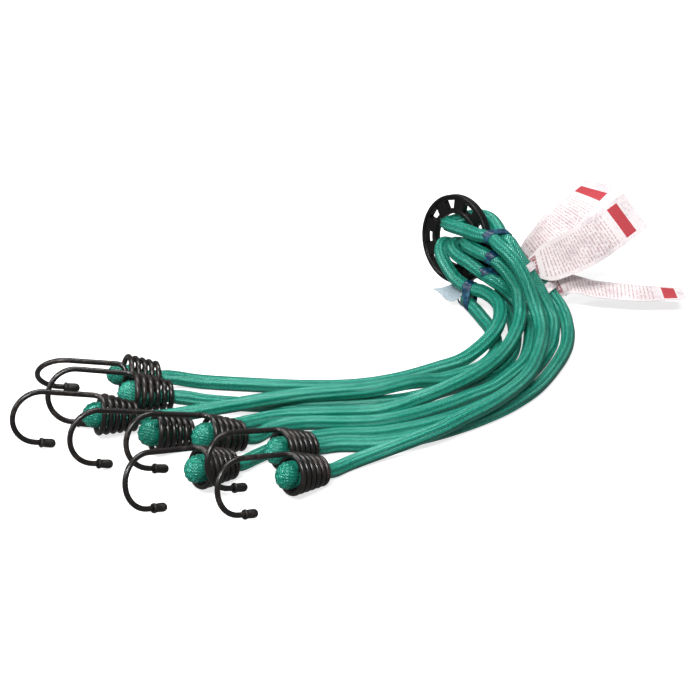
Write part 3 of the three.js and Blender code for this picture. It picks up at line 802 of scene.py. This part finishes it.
# %% The cord's end
SQUEEZED_D = 7 * MM
SEAT_GAP = 0.3 * MM
CAD_TURN_STEPS = 8
FOLD_R = (SQUEEZED_D + SEAT_GAP) / 2
FOLD_STEPS = 7
KNOB_REACH = 1 * MM
RETURN_REACH = 3 * MM
MOUTH_FROM = -0.4 * MM
MOUTH_TO = 3.5 * MM
SEATED_AT = (0.4, 0.7, 1)
END_STEPS = 9
END_SIDES = 36
KNOB_SWELL = 1.1
SWELL_BEFORE = 2 * MM
SWELL_L = 6 * MM
STRAND_MARK = 0.06 * MM
RIB_PITCH = 1.6 * MM
RIB_RISE = 0.18 * MM


def seat_drop(share, diameter):
    """How far below the coil's axis a cord of that diameter lies on the wire."""
    middle = COIL_SMALL_R + (COIL_BIG_R - COIL_SMALL_R) * share
    inner = middle * math.cos(math.pi / CAD_TURN_STEPS) - WIRE_D / 2
    return inner - diameter / 2 - SEAT_GAP


def end_line():
    mouth = -seat_drop(0, CORD_D)
    points = [(MOUTH_FROM, 0, mouth), (MOUTH_TO, 0, mouth)]
    for share in SEATED_AT:
        points.append((COIL_L * share, 0, -seat_drop(share, SQUEEZED_D)))
    low = -seat_drop(1, SQUEEZED_D)
    for i in range(1, FOLD_STEPS + 1):
        f = i / FOLD_STEPS * math.pi
        out = COIL_L + KNOB_REACH + FOLD_R * math.sin(f)
        points.append((out, 0, low + FOLD_R - FOLD_R * math.cos(f)))
    tail = COIL_L - RETURN_REACH
    points.append((tail, 0, -seat_drop(tail / COIL_L, SQUEEZED_D) + 2 * FOLD_R))
    return smooth_line(points, END_STEPS)


knob_line = end_line()
knob_along = lengths_along(knob_line)
fold = np.clip((knob_line[:, 0] - COIL_L + SWELL_BEFORE) / SWELL_L, 0, 1)[:, None]
angle = np.arange(END_SIDES) * 2 * math.pi / END_SIDES
knob_radii = SQUEEZED_D / 2 * (1 + (KNOB_SWELL - 1) * fold)
knob_radii = knob_radii + STRAND_MARK * np.cos(STRANDS * angle)[None]
knob_radii = knob_radii + RIB_RISE * fold * np.cos(2 * math.pi * knob_along / RIB_PITCH)[:, None]
knob_radii[0] = MOUTH_R
end_mesh = mesh_only(tube("cord_end", knob_line, knob_radii, END_SIDES, braid, (0, 1, 0)))
print(f"cord end: {knob_along[-1]:.3f} m in and outside the coil")

# %% [markdown]
# What shows outside the coil is fuller than a fold: a round knob, with fine ribs where the
# cover is pushed together. A ball is a tube too, along a short straight line with the radii
# of a sphere, so it takes the same ribs and braid. bmesh joins the two meshes into one piece.

# %% The knob
BALL_R = 6.5 * MM
BALL_REACH = 1.6 * MM
BALL_FLAT = 0.1
BALL_RINGS = 49
POLE_CUT = 0.03
BALL_TURNS = 1.5

rise = np.linspace(POLE_CUT, 1 - POLE_CUT, BALL_RINGS) * math.pi
ball_height = -BALL_R * np.cos(rise)
ball_middle = FOLD_R - seat_drop(1, SQUEEZED_D)
ball_line = np.array([(COIL_L + BALL_REACH, 0, ball_middle + h) for h in ball_height])
ball_radii = BALL_R * np.sin(rise)[:, None] * (1 - BALL_FLAT * np.sin(angle) ** 2)[None]
ribs = np.cos(2 * math.pi * ball_height[:, None] / RIB_PITCH + 2 * angle[None])
ball_radii = ball_radii + RIB_RISE * ribs * np.sin(rise)[:, None]
# The last argument is painted shade in the hollows between the knob's ribs.
ball = tube(
    "cord_end_ball", ball_line, ball_radii, END_SIDES, braid, (1, 0, 0), BALL_TURNS,
    ((1 - ribs) / 2) ** 2,
)
both = bmesh.new()
both.from_mesh(end_mesh)
both.from_mesh(mesh_only(ball))
both.to_mesh(end_mesh)
both.free()
print(f"knob: {len(end_mesh.polygons)} faces with its cord end")

# %% [markdown]
# The cord lies on the lowest wire of the coil's narrow end, so its mouth gives the coil's
# place. Each hook's wire, cap and cord end turn together, and ride on the same body.

# %% Hooks, caps and cord ends in place
mouths = {}
for cord in CORDS.values():
    for letter, name in zip(cord["hooks"], ("arm", "far_arm")):
        mouths[letter] = Vector(np.array(cord[name][0]) + shift)

for letter, mouth in sorted(mouths.items()):
    turn = turns[letter]
    entry = mouth + turn @ Vector((0, 0, seat_drop(0, CORD_D)))
    place = Matrix.Translation(entry) @ turn.to_4x4()
    tip = Vector((COIL_L + TURN_IN_R + SHANK_L - TIP_L, 0, COIL_BIG_R - 2 * BEND_R))
    for name, mesh, spot, node, slot in (
        (f"hook_{letter}_wire", hook_mesh, Vector(), f"hook_{letter}", "coated_wire"),
        (f"hook_{letter}_cap", cap_mesh, tip, f"tip_cap_{letter}", "cap_plastic"),
        (f"hook_{letter}_knob", end_mesh, Vector(), f"cord_end_{letter}", "braided_cord"),
    ):
        moved = mesh.copy()
        moved.name = name
        moved.transform(place @ Matrix.Translation(spot))
        piece = bpy.data.objects.new(name, moved)
        bpy.context.scene.collection.objects.link(piece)
        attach(piece, f"hook_{letter}")
        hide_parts(node)

# %% [markdown]
# ## The ring
#
# The ring is moulded plastic: a flat band with a raised rim along both edges and nine windows
# that are wider outside than inside. Cutting the windows with booleans would leave long thin
# faces that spoil a bevel. Here the band is laid out as a grid whose lines already follow
# the windows' sides, the faces inside a window are left out, and walls join front and back.

# %% Ring finish
RING_BLACK = screen_colour(8, 7, 8)
RING_WORN = screen_colour(32, 30, 31)
MOULD_PER_M = 700.0
MOULD_DEPTH = 0.04 * MM
RUBS_PER_M = 120.0

ring_coat = Finish("ring_plastic", Specular_IOR_Level=0.38)
mould = ring_coat.noise(MOULD_PER_M, 3.0)
rubbed = ring_coat.spread(ring_coat.noise(RUBS_PER_M, 4.0), 0.5, 0.7)
ring_coat.colour(ring_coat.between(RING_BLACK, RING_WORN, rubbed * 0.35))
ring_coat.roughness(0.24 + 0.16 * mould + 0.12 * rubbed)
ring_coat.relief(mould, MOULD_DEPTH, 0.6)
print(f"ring coat: rubbed patches about {1 / RUBS_PER_M / MM:.0f} mm apart")

# %% The ring's section and columns
HOLE_R = 15.7 * MM
RIM_W = 2 * MM
RIM_H = 0.9 * MM
BAND_T = 3 * MM
WINDOWS = 9
WINDOW_H = 5.4 * MM
WINDOW_OUTER_W = 8.8 * MM
WINDOW_INNER_W = 5.2 * MM
WINDOW_FIRST = math.radians(13.9)
HALF_COLUMNS = 3
PLAIN_COLUMNS = 6

middle = (RING_R + HOLE_R) / 2
foot, top = middle - WINDOW_H / 2, middle + WINDOW_H / 2
rim, face = BAND_T / 2 + RIM_H, BAND_T / 2
front = [
    (HOLE_R, rim), (HOLE_R + RIM_W, rim), (HOLE_R + RIM_W, face), (foot, face),
    (top, face), (RING_R - RIM_W, face), (RING_R - RIM_W, rim), (RING_R, rim),
]
section = front + [(r, -h) for r, h in reversed(front)]
# A column of the grid: its window, its place across the window and then along the plain
# stretch, and whether an opening starts there.
columns = []
for w in range(WINDOWS):
    for c in range(-HALF_COLUMNS, HALF_COLUMNS):
        columns.append((w, c / HALF_COLUMNS, 0.0, True))
    for c in range(PLAIN_COLUMNS):
        columns.append((w, 1.0, c / PLAIN_COLUMNS, False))
print(f"ring: {len(section)} corners in its section, {len(columns)} columns round it")


# %% The ring's points and faces
def ring_points():
    half_foot, half_top = WINDOW_INNER_W / 2 / foot, WINDOW_OUTER_W / 2 / top
    sector = 2 * math.pi / WINDOWS
    points = []
    for r, h in section:
        share = min(max((r - foot) / (top - foot), 0), 1)
        half = half_foot + (half_top - half_foot) * share
        for w, inside, outside, _ in columns:
            a = WINDOW_FIRST + sector * w + half * inside + (sector - 2 * half) * outside
            points.append((r * math.sin(a), h, r * math.cos(a)))
    return points


def ring_faces():
    """Rows of the grid without the openings, and then the walls of each opening."""
    rows, n = len(section), len(columns)
    grid = np.arange(rows * n).reshape(rows, n).tolist()
    faces = []
    for k in range(rows):
        m = (k + 1) % rows
        over_window = {section[k][0], section[m][0]} == {foot, top}
        for i in range(n):
            j = (i + 1) % n
            if not (over_window and columns[i][3]):
                faces.append((grid[k][i], grid[k][j], grid[m][j], grid[m][i]))
    near_foot, near_top = grid[front.index((foot, face))], grid[front.index((top, face))]
    far_foot, far_top = grid[~front.index((foot, face))], grid[~front.index((top, face))]
    for i in range(n):
        if columns[i][3]:
            j = (i + 1) % n
            faces.append((near_foot[i], far_foot[i], far_foot[j], near_foot[j]))
            faces.append((near_top[j], far_top[j], far_top[i], near_top[i]))
            if not columns[i - 1][3]:
                faces.append((near_top[i], far_top[i], far_foot[i], near_foot[i]))
            if not columns[j][3]:
                faces.append((near_foot[j], far_foot[j], far_top[j], near_top[j]))
    return faces


ring_piece = new_piece("ring_moulding", ring_points(), ring_faces(), ring_coat)
print(f"ring: {len(ring_piece.data.polygons)} faces before its edges are rounded")

# %% [markdown]
# The ring is turned and moved to where the loops hold it. A bevel then rounds every moulded
# edge, also those of the windows. Its limit keeps it off the many flat steps of the round.

# %% The ring in place
EDGE_R = 0.42 * MM
EDGE_STEPS = 3
EDGE_LIMIT = math.radians(40)

turn = Matrix((ring_across, ring_out, -ring_up)).transposed().to_4x4()
ring_piece.data.transform(Matrix.Translation(Vector(ring_centre)) @ turn)
bevel = ring_piece.modifiers.new("moulded edges", "BEVEL")
bevel.width = EDGE_R
bevel.segments = EDGE_STEPS
bevel.limit_method = "ANGLE"
bevel.angle_limit = EDGE_LIMIT
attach(ring_piece, "ring")
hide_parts("ring")
print(f"ring: edges rounded to {EDGE_R / MM:.2f} mm")

# %% [markdown]
# ## Ties
#
# A strip of dark blue film is wound tightly round the two legs of each loop. It follows the
# legs, so its section is made at each place along them: two half rounds with straights
# between. Small waves in the radius, three and seven to a turn, are the creases of the film.

# %% Tie finish
FILM_BLUE = screen_colour(6, 48, 76)
FILM_PALE = screen_colour(38, 100, 126)
CREASES_PER_M = 340.0
CREASE_DEPTH = 0.25 * MM
LAYERS_PER_M = 130.0

film = Finish("tie_film", Specular_IOR_Level=0.6)
crease = film.noise(CREASES_PER_M, 3.0)
layers = film.noise(LAYERS_PER_M)
stretched = film.spread(crease * 0.6 + layers * 0.4, 0.5, 0.66)
film.colour(film.between(FILM_BLUE, FILM_PALE, stretched))
film.roughness(0.22 + 0.2 * layers)
film.relief(crease + layers, CREASE_DEPTH, 0.5)
print(f"film: creases about {1 / CREASES_PER_M / MM:.0f} mm apart")

# %% A tie's section
TIE_W = 5.0 * MM
TIE_STATIONS = 13
TIE_ARC_STEPS = 12
TIE_STRAIGHT_STEPS = 3
TIE_T = 0.5 * MM
TIE_GRIP = 0.1 * MM
TIE_EDGE_SINK = 0.3 * MM
TIE_CREASE = 0.06 * MM
TIE_WAVES = ((3, 0.9, 1.0), (7, -1.7, 0.7))


def stadium(half_span):
    """Points round two half rounds of radius 1 and the straights between, with outward ways."""
    spots, ways = [], []
    for side in (1, -1):
        for i in range(TIE_ARC_STEPS + 1):
            a = i / TIE_ARC_STEPS * math.pi - math.pi / 2
            spots.append((side * half_span, 0))
            ways.append((side * math.cos(a), side * math.sin(a)))
        for i in range(1, TIE_STRAIGHT_STEPS):
            share = 1 - 2 * i / TIE_STRAIGHT_STEPS
            spots.append((side * half_span * share, 0))
            ways.append((0, side))
    return np.array(spots), np.array(ways)


print(f"tie: {len(stadium(CORD_D / 2)[0])} points round its section")

# %% [markdown]
# The section is set at thirteen places along both legs, square to the way they run there. The
# film has an inner face too, just inside the cords' surface, so it is a closed sleeve.

# %% The film round the legs
def make_tie(name, cord_name):
    """A closed sleeve of film round the two legs of a cord's loop."""
    line = lines[cord_name]
    first, last = tie_places(cord_name)
    offsets = np.linspace(-TIE_W / 2, TIE_W / 2, TIE_STATIONS)
    legs = [at_lengths(line, first + offsets), at_lengths(line, last - offsets)]
    rings = {"out": [], "in": []}
    for s in range(TIE_STATIONS):
        one, two = legs[0][s], legs[1][s]
        across = unit(two - one)
        near = min(s, TIE_STATIONS - 2)
        forward = unit(legs[0][near + 1] - legs[0][near] + legs[1][near + 1] - legs[1][near])
        up = unit(np.cross(forward, across))
        spots, ways = stadium(np.linalg.norm(two - one) / 2)
        around = np.arange(len(spots)) / len(spots) * 2 * math.pi
        wave = sum(high * np.sin(crests * around + turn * s) for crests, turn, high in TIE_WAVES)
        rise = CORD_D / 2 + TIE_T + TIE_CREASE * wave
        if s in (0, TIE_STATIONS - 1):
            rise = rise - TIE_EDGE_SINK
        for key, radius in (("out", rise), ("in", np.full(len(spots), CORD_D / 2 - TIE_GRIP))):
            flat = spots + ways * radius[:, None]
            rings[key].append((one + two) / 2 + flat[:, :1] * across + flat[:, 1:] * up)
    n = len(rings["out"][0])
    points = np.concatenate([*rings["out"], *rings["in"]])
    inner = TIE_STATIONS * n
    faces = []
    for s in range(TIE_STATIONS - 1):
        for i in range(n):
            j = (i + 1) % n
            a, b, c, d = s * n + i, s * n + j, (s + 1) * n + j, (s + 1) * n + i
            faces.append((a, b, c, d))
            faces.append((inner + d, inner + c, inner + b, inner + a))
    end = (TIE_STATIONS - 1) * n
    for i in range(n):
        j = (i + 1) % n
        faces.append((i, inner + i, inner + j, j))
        faces.append((end + j, inner + end + j, inner + end + i, end + i))
    return new_piece(name, points, faces, film)


for k, cord_name in enumerate(CORDS, 1):
    piece = make_tie(f"tie_{k}_film", cord_name)
    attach(piece, "strap")
    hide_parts(f"tie_{k}")

# %% [markdown]
# ## Paper tags
#
# Each tag is a strip of thin printed paper, folded round a cord and closed on itself. Its
# front has rows of thin pale red strokes, a stronger row at the head and a plain red band
# across the far end. A remainder makes the rows and noise the gaps, so the print says
# nothing. One tag shows its unprinted back, which lies in shade: it is the same stock in
# other colours, a grey of painted shade.

# %% Paper finish
PAPER = screen_colour(236, 226, 227)
PAPER_SHADE = screen_colour(204, 193, 197)
# Painted shade: the greys of the tag whose back lies in shade.
BACK_PAINTED_SHADE_GREY = screen_colour(176, 190, 198)
BACK_PAINTED_DEEP_SHADE = screen_colour(150, 166, 176)
PRINT_RED = screen_colour(142, 40, 58)
BAND_RED = screen_colour(180, 30, 46)
ROW_PITCH = 2.3 * MM
MARGIN = 0.1
TAG_L = 85 * MM
TAG_W = 26 * MM
HEADING = (4 * MM, 8 * MM)
ROWS = (10 * MM, 66 * MM)
BAND = (71 * MM, 79 * MM)
ROW_INK = 0.34
STROKES_ACROSS = 26
ROW_SHUFFLE = 7.3
STROKE_ABOVE = 0.45
FIBRES_PER_M = 800.0
CRUMPLES_PER_M = 60.0
CRUMPLE_DEPTH = 0.2 * MM


def paper_stock(name, shade, light):
    """A paper's finish with its fibres and crumples, and its plain colour."""
    stock = Finish(name, Specular_IOR_Level=0.35)
    fibres = stock.noise(FIBRES_PER_M, 4.0)
    crumple = stock.noise(CRUMPLES_PER_M)
    stock.roughness(0.55 + 0.2 * fibres)
    stock.relief(crumple * 3 + fibres * 0.3, CRUMPLE_DEPTH, 0.5)
    return stock, stock.between(shade, light, stock.spread(fibres + crumple, 0.7, 1.15))


paper, plain = paper_stock("tag_paper", PAPER_SHADE, PAPER)
# Painted shade: a grey copy of the paper, for the tag whose back lies in shade.
paper_reverse, plain_reverse = paper_stock("tag_paper_reverse", BACK_PAINTED_DEEP_SHADE, BACK_PAINTED_SHADE_GREY)
paper_reverse.colour(plain_reverse)
width_share, flag_along = paper.place("winding")
row = (flag_along * (1 / ROW_PITCH)) % 1.0
row_number = flag_along * (1 / ROW_PITCH) - row
dash_at = {0: width_share * STROKES_ACROSS, 1: row_number * ROW_SHUFFLE, 2: 0.0}
dash_spot = paper.node("ShaderNodeCombineXYZ", {}, dash_at)
dash = paper.noise(1.0, 1.0, dash_spot) > STROKE_ABOVE
in_margins = (width_share > MARGIN) * (width_share < 1 - MARGIN)


def along_flag(stretch):
    """1 on that stretch of the flag, between its margins, and 0 elsewhere."""
    return in_margins * (flag_along > stretch[0]) * (flag_along < stretch[1])


printed = (row < ROW_INK) * dash * along_flag(ROWS)
heading = dash * along_flag(HEADING)
ink = (printed * 0.5 + heading * 0.8).math("MINIMUM", 1.0)
with_print = paper.between(plain, PRINT_RED, ink)
paper.colour(paper.between(with_print, BAND_RED, along_flag(BAND) * 0.95))
print(f"paper: rows of strokes {ROW_PITCH / MM} mm apart")

# %% [markdown]
# A strip is a row of stations: the middle of the paper, the way it runs, the way its width
# points and how wide it is there. It starts as a loop round the cord, at half its width but
# for the last quarter, because other cords lie close to it. Then it leaves as a flag, through
# places that are those of the CAD model.

# %% Where the tags run
TAG_T = 0.3 * MM
WRAP_R = CORD_D / 2 + 1.3 * MM
WRAP_ANGLE = math.radians(290)
WRAP_STEPS = 28
WRAP_NARROW = 0.5
NARROW_BY = 0.25
FLAG_STEPS = 10
# Each tag's cord and the number of its point there, counted from the far hook; the flag's
# places from that point, in lengths of the tag; where the width points at each place; and
# the widths at the loop and at each place, in widths of the tag.
TAGS = [
    {
        "cord": "cord_3", "number": 14,
        "places": [(0.11, 0.12, 0.1), (0.36, 0.43, 0.2), (0.63, 0.75, 0.3)],
        "edges": [(-0.78, -0.1, 0.6), (-0.8, 0.3, 0.25), (-0.74, 0.65, -0.18)],
        "widths": [0.34, 0.66, 0.82, 0.95],
    },
    {
        "cord": "cord_4", "number": 14,
        "places": [(0.185, 0.095, 0.01), (0.46, 0.32, 0.03), (0.82, 0.58, 0.17)],
        "edges": [(-0.52, 0.36, 0.72), (-0.57, 0.41, 0.71), (-0.65, 0.38, 0.66)],
        "widths": [0.36, 0.9, 1, 1],
    },
    {
        "cord": "cord_3", "number": 12,
        "places": [
            (0.12, 0.07, 0.02), (0.35, 0.09, -0.04), (0.65, 0.07, -0.06), (0.97, 0.06, -0.06),
        ],
        "edges": [(-0.5, 0.7, 0.3), (-0.1, 1, -0.05), (0, 1, -0.1), (0, 1, -0.24)],
        "widths": [0.42, 0.7, 0.95, 1, 1],
    },
    {
        "cord": "cord_1", "number": 17,
        "places": [(-0.1, 0, 0.04), (-0.23, 0.02, 0.06)],
        "edges": [(0, 1, 0.5), (0.2, 1, 0.6)],
        "widths": [0.34, 0.48, 0.05],
        "reverse": True,
    },
]
print(f"{len(TAGS)} tags of {TAG_W / MM:.0f} mm stock")


# %% A tag's stations
def turned_about(v, axis, angle):
    axis = unit(axis)
    return (
        v * math.cos(angle)
        + np.cross(axis, v) * math.sin(angle)
        + axis * axis.dot(v) * (1 - math.cos(angle))
    )


def tag_stations(tag):
    """The middle, the way it runs, the way its width points and the width at each place."""
    points = cord_points(CORDS[tag["cord"]])[::-1]
    centre = points[tag["number"]]
    curve = smooth_line(points, 2)
    spot = 2 * tag["number"]
    axis = unit(curve[spot + 1] - curve[spot - 1])
    places = [centre + TAG_L * np.array(p) for p in tag["places"]]
    aim = places[0] - centre
    aim = aim - aim.dot(axis) * axis
    leave = math.acos(WRAP_R / np.linalg.norm(aim))
    spoke = turned_about(unit(aim), axis, leave)
    along = np.cross(spoke, axis)
    stations = []
    for i in range(WRAP_STEPS, -1, -1):
        a = WRAP_ANGLE * i / WRAP_STEPS
        at = centre + WRAP_R * turned_about(spoke, axis, a)
        narrowed = 1 - WRAP_NARROW * min(i / WRAP_STEPS / NARROW_BY, 1)
        width = TAG_W * tag["widths"][0] * narrowed
        stations.append((at, turned_about(along, axis, a), axis, width))
    flag = smooth_line([stations[-1][0], *places], FLAG_STEPS)
    edges = [axis, *(unit(e) for e in tag["edges"])]
    runs = directions(flag)
    for i in range(1, len(flag)):
        k = math.ceil(i / FLAG_STEPS)
        share = i / FLAG_STEPS - (k - 1)
        wide = edges[k - 1] * (1 - share) + edges[k] * share
        wide = unit(wide - wide.dot(runs[i]) * runs[i])
        narrow, full = tag["widths"][k - 1], tag["widths"][k]
        ease = share * share * (3 - 2 * share)
        stations.append((flag[i], runs[i], wide, TAG_W * (narrow + (full - narrow) * ease)))
    return stations


print(f"tag 1 has {len(tag_stations(TAGS[0]))} stations")

# %% [markdown]
# The sheet is closed and as thick as stiff paper, because a sheet with no thickness has no
# edge to catch the light. The flag curls a little across its width, and its edges stay sharp.

# %% Tags
TAG_COLUMNS = 8
TAG_CURL = 0.7 * MM
CURL_START_L = 0.4 * TAG_L
CURL_WAVES = 90
PAPER_EDGE = math.radians(50)


def make_tag(name, stations, finish):
    """A thin closed sheet through the stations, slightly curled across its width."""
    middles = np.array([s[0] for s in stations])
    along = lengths_along(middles)
    flag_start = along[WRAP_STEPS]
    points = {1: [], -1: []}
    for (at, run, wide, width), length in zip(stations, along):
        up = unit(np.cross(run, wide))
        free = min(max((length - flag_start) / CURL_START_L, 0), 1)
        for c in range(TAG_COLUMNS + 1):
            share = c / TAG_COLUMNS - 0.5
            curl = TAG_CURL * free * (1 - 4 * share * share) * math.sin(CURL_WAVES * length)
            for face in (1, -1):
                points[face].append(at + wide * width * share + up * (curl + face * TAG_T / 2))
    n = TAG_COLUMNS + 1
    other = len(points[1])
    faces, spots = [], []
    rows = len(stations)
    for s in range(rows - 1):
        for c in range(TAG_COLUMNS):
            a, b, d, e = s * n + c, s * n + c + 1, (s + 1) * n + c + 1, (s + 1) * n + c
            u0, u1 = c / TAG_COLUMNS, (c + 1) / TAG_COLUMNS
            v0, v1 = along[s] - flag_start, along[s + 1] - flag_start
            faces += [(a, e, d, b), (other + b, other + d, other + e, other + a)]
            spots += [(u0, v0), (u0, v1), (u1, v1), (u1, v0)]
            spots += [(u1, v0), (u1, v1), (u0, v1), (u0, v0)]
    border = [*range(n)]
    border += [s * n + TAG_COLUMNS for s in range(1, rows)]
    border += [(rows - 1) * n + c for c in range(TAG_COLUMNS - 1, -1, -1)]
    border += [s * n for s in range(rows - 2, 0, -1)]
    for i, a in enumerate(border):
        b = border[(i + 1) % len(border)]
        faces.append((a, b, other + b, other + a))
        spots += [(0.5, 0)] * 4
    return new_piece(name, points[1] + points[-1], faces, finish, spots)


tag_pieces = []
for k, tag in enumerate(TAGS, 1):
    stations = tag_stations(tag)
    # The tag whose back lies in shade gets the grey paper of painted shade.
    finish = paper_reverse if tag.get("reverse") else paper
    piece = make_tag(f"tag_{k}_paper", stations, finish)
    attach(piece, f"tag_{k}")
    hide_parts(f"tag_{k}")
    piece.data.set_sharp_from_angle(angle=PAPER_EDGE)
    tag_pieces.append(piece)
    strip = lengths_along(np.array([s[0] for s in stations]))[-1]
    print(f"{piece.name}: a strip {strip / MM:.0f} mm long")

# %% [markdown]
# ## What the cords are
#
# Each cord's tube rides on the strap's body in place of its CAD node, and the tags on it are
# gathered. On a cord are its two hooks, its tie and its tags, and it is held at both ends by
# the hooks.

# %% Cords on the strap
for name, cord in CORDS.items():
    piece, line = cord_pieces[name], lines[name]
    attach(piece, "strap")
    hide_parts(name)
    tags = [p for p, tag in zip(tag_pieces, TAGS) if tag["cord"] == name]
print(f"{len(CORDS)} cords declared")

# %% [markdown]
# ## Studio
#
# The photograph has even white light with almost no shadow, and thin bright lines along the
# wires and the ridges of the cords. A floor that glows gives the first, and is hidden from
# the strap's own rays so that it doesn't wash out the dark parts. Three narrow strips of
# light in a dim world, at the front, above and at the left, give the lines.

# %% Floor, world and lights
FLOOR_HALF = 3.0
FLOOR_GREY = 0.6
FLOOR_GLOW = 0.72
WORLD_STRENGTH = 0.22
LIGHTS = {
    "front light": ((-0.2, -0.95, 1.1), (0.6, 0.1), 17),
    "top light": ((0.0, 0.35, 1.4), (1.2, 0.06), 15),
    "left light": ((-1.2, -0.3, 0.8), (0.1, 0.8), 6),
}

floor = new_piece(
    "floor",
    [(x * FLOOR_HALF, y * FLOOR_HALF, 0) for x, y in ((-1, -1), (1, -1), (1, 1), (-1, 1))],
    [(0, 1, 2, 3)],
    Finish(
        "floor",
        Base_Color=(FLOOR_GREY, FLOOR_GREY, FLOOR_GREY),
        Roughness=0.9,
        Specular_IOR_Level=0.1,
        Emission_Color=(1, 1, 1),
        Emission_Strength=FLOOR_GLOW,
    ),
)
floor.visible_diffuse = False
floor.visible_glossy = False

world = bpy.data.worlds.new("studio")
world.use_nodes = True
sky = world.node_tree.nodes["Background"].inputs
sky["Color"].default_value = (1, 1, 1, 1)
sky["Strength"].default_value = WORLD_STRENGTH
bpy.context.scene.world = world

for name, (place, size, watts) in LIGHTS.items():
    light = bpy.data.lights.new(name, "AREA")
    light.shape = "RECTANGLE"
    light.size, light.size_y = size
    light.energy = watts
    lamp = bpy.data.objects.new(name, light)
    lamp.location = place
    lamp.rotation_mode = "QUATERNION"
    lamp.rotation_quaternion = (-Vector(place)).to_track_quat("-Z", "Y")
    bpy.context.scene.collection.objects.link(lamp)
bpy.context.scene.view_settings.view_transform = "Standard"
print(f"studio: {len(LIGHTS)} strips of light")
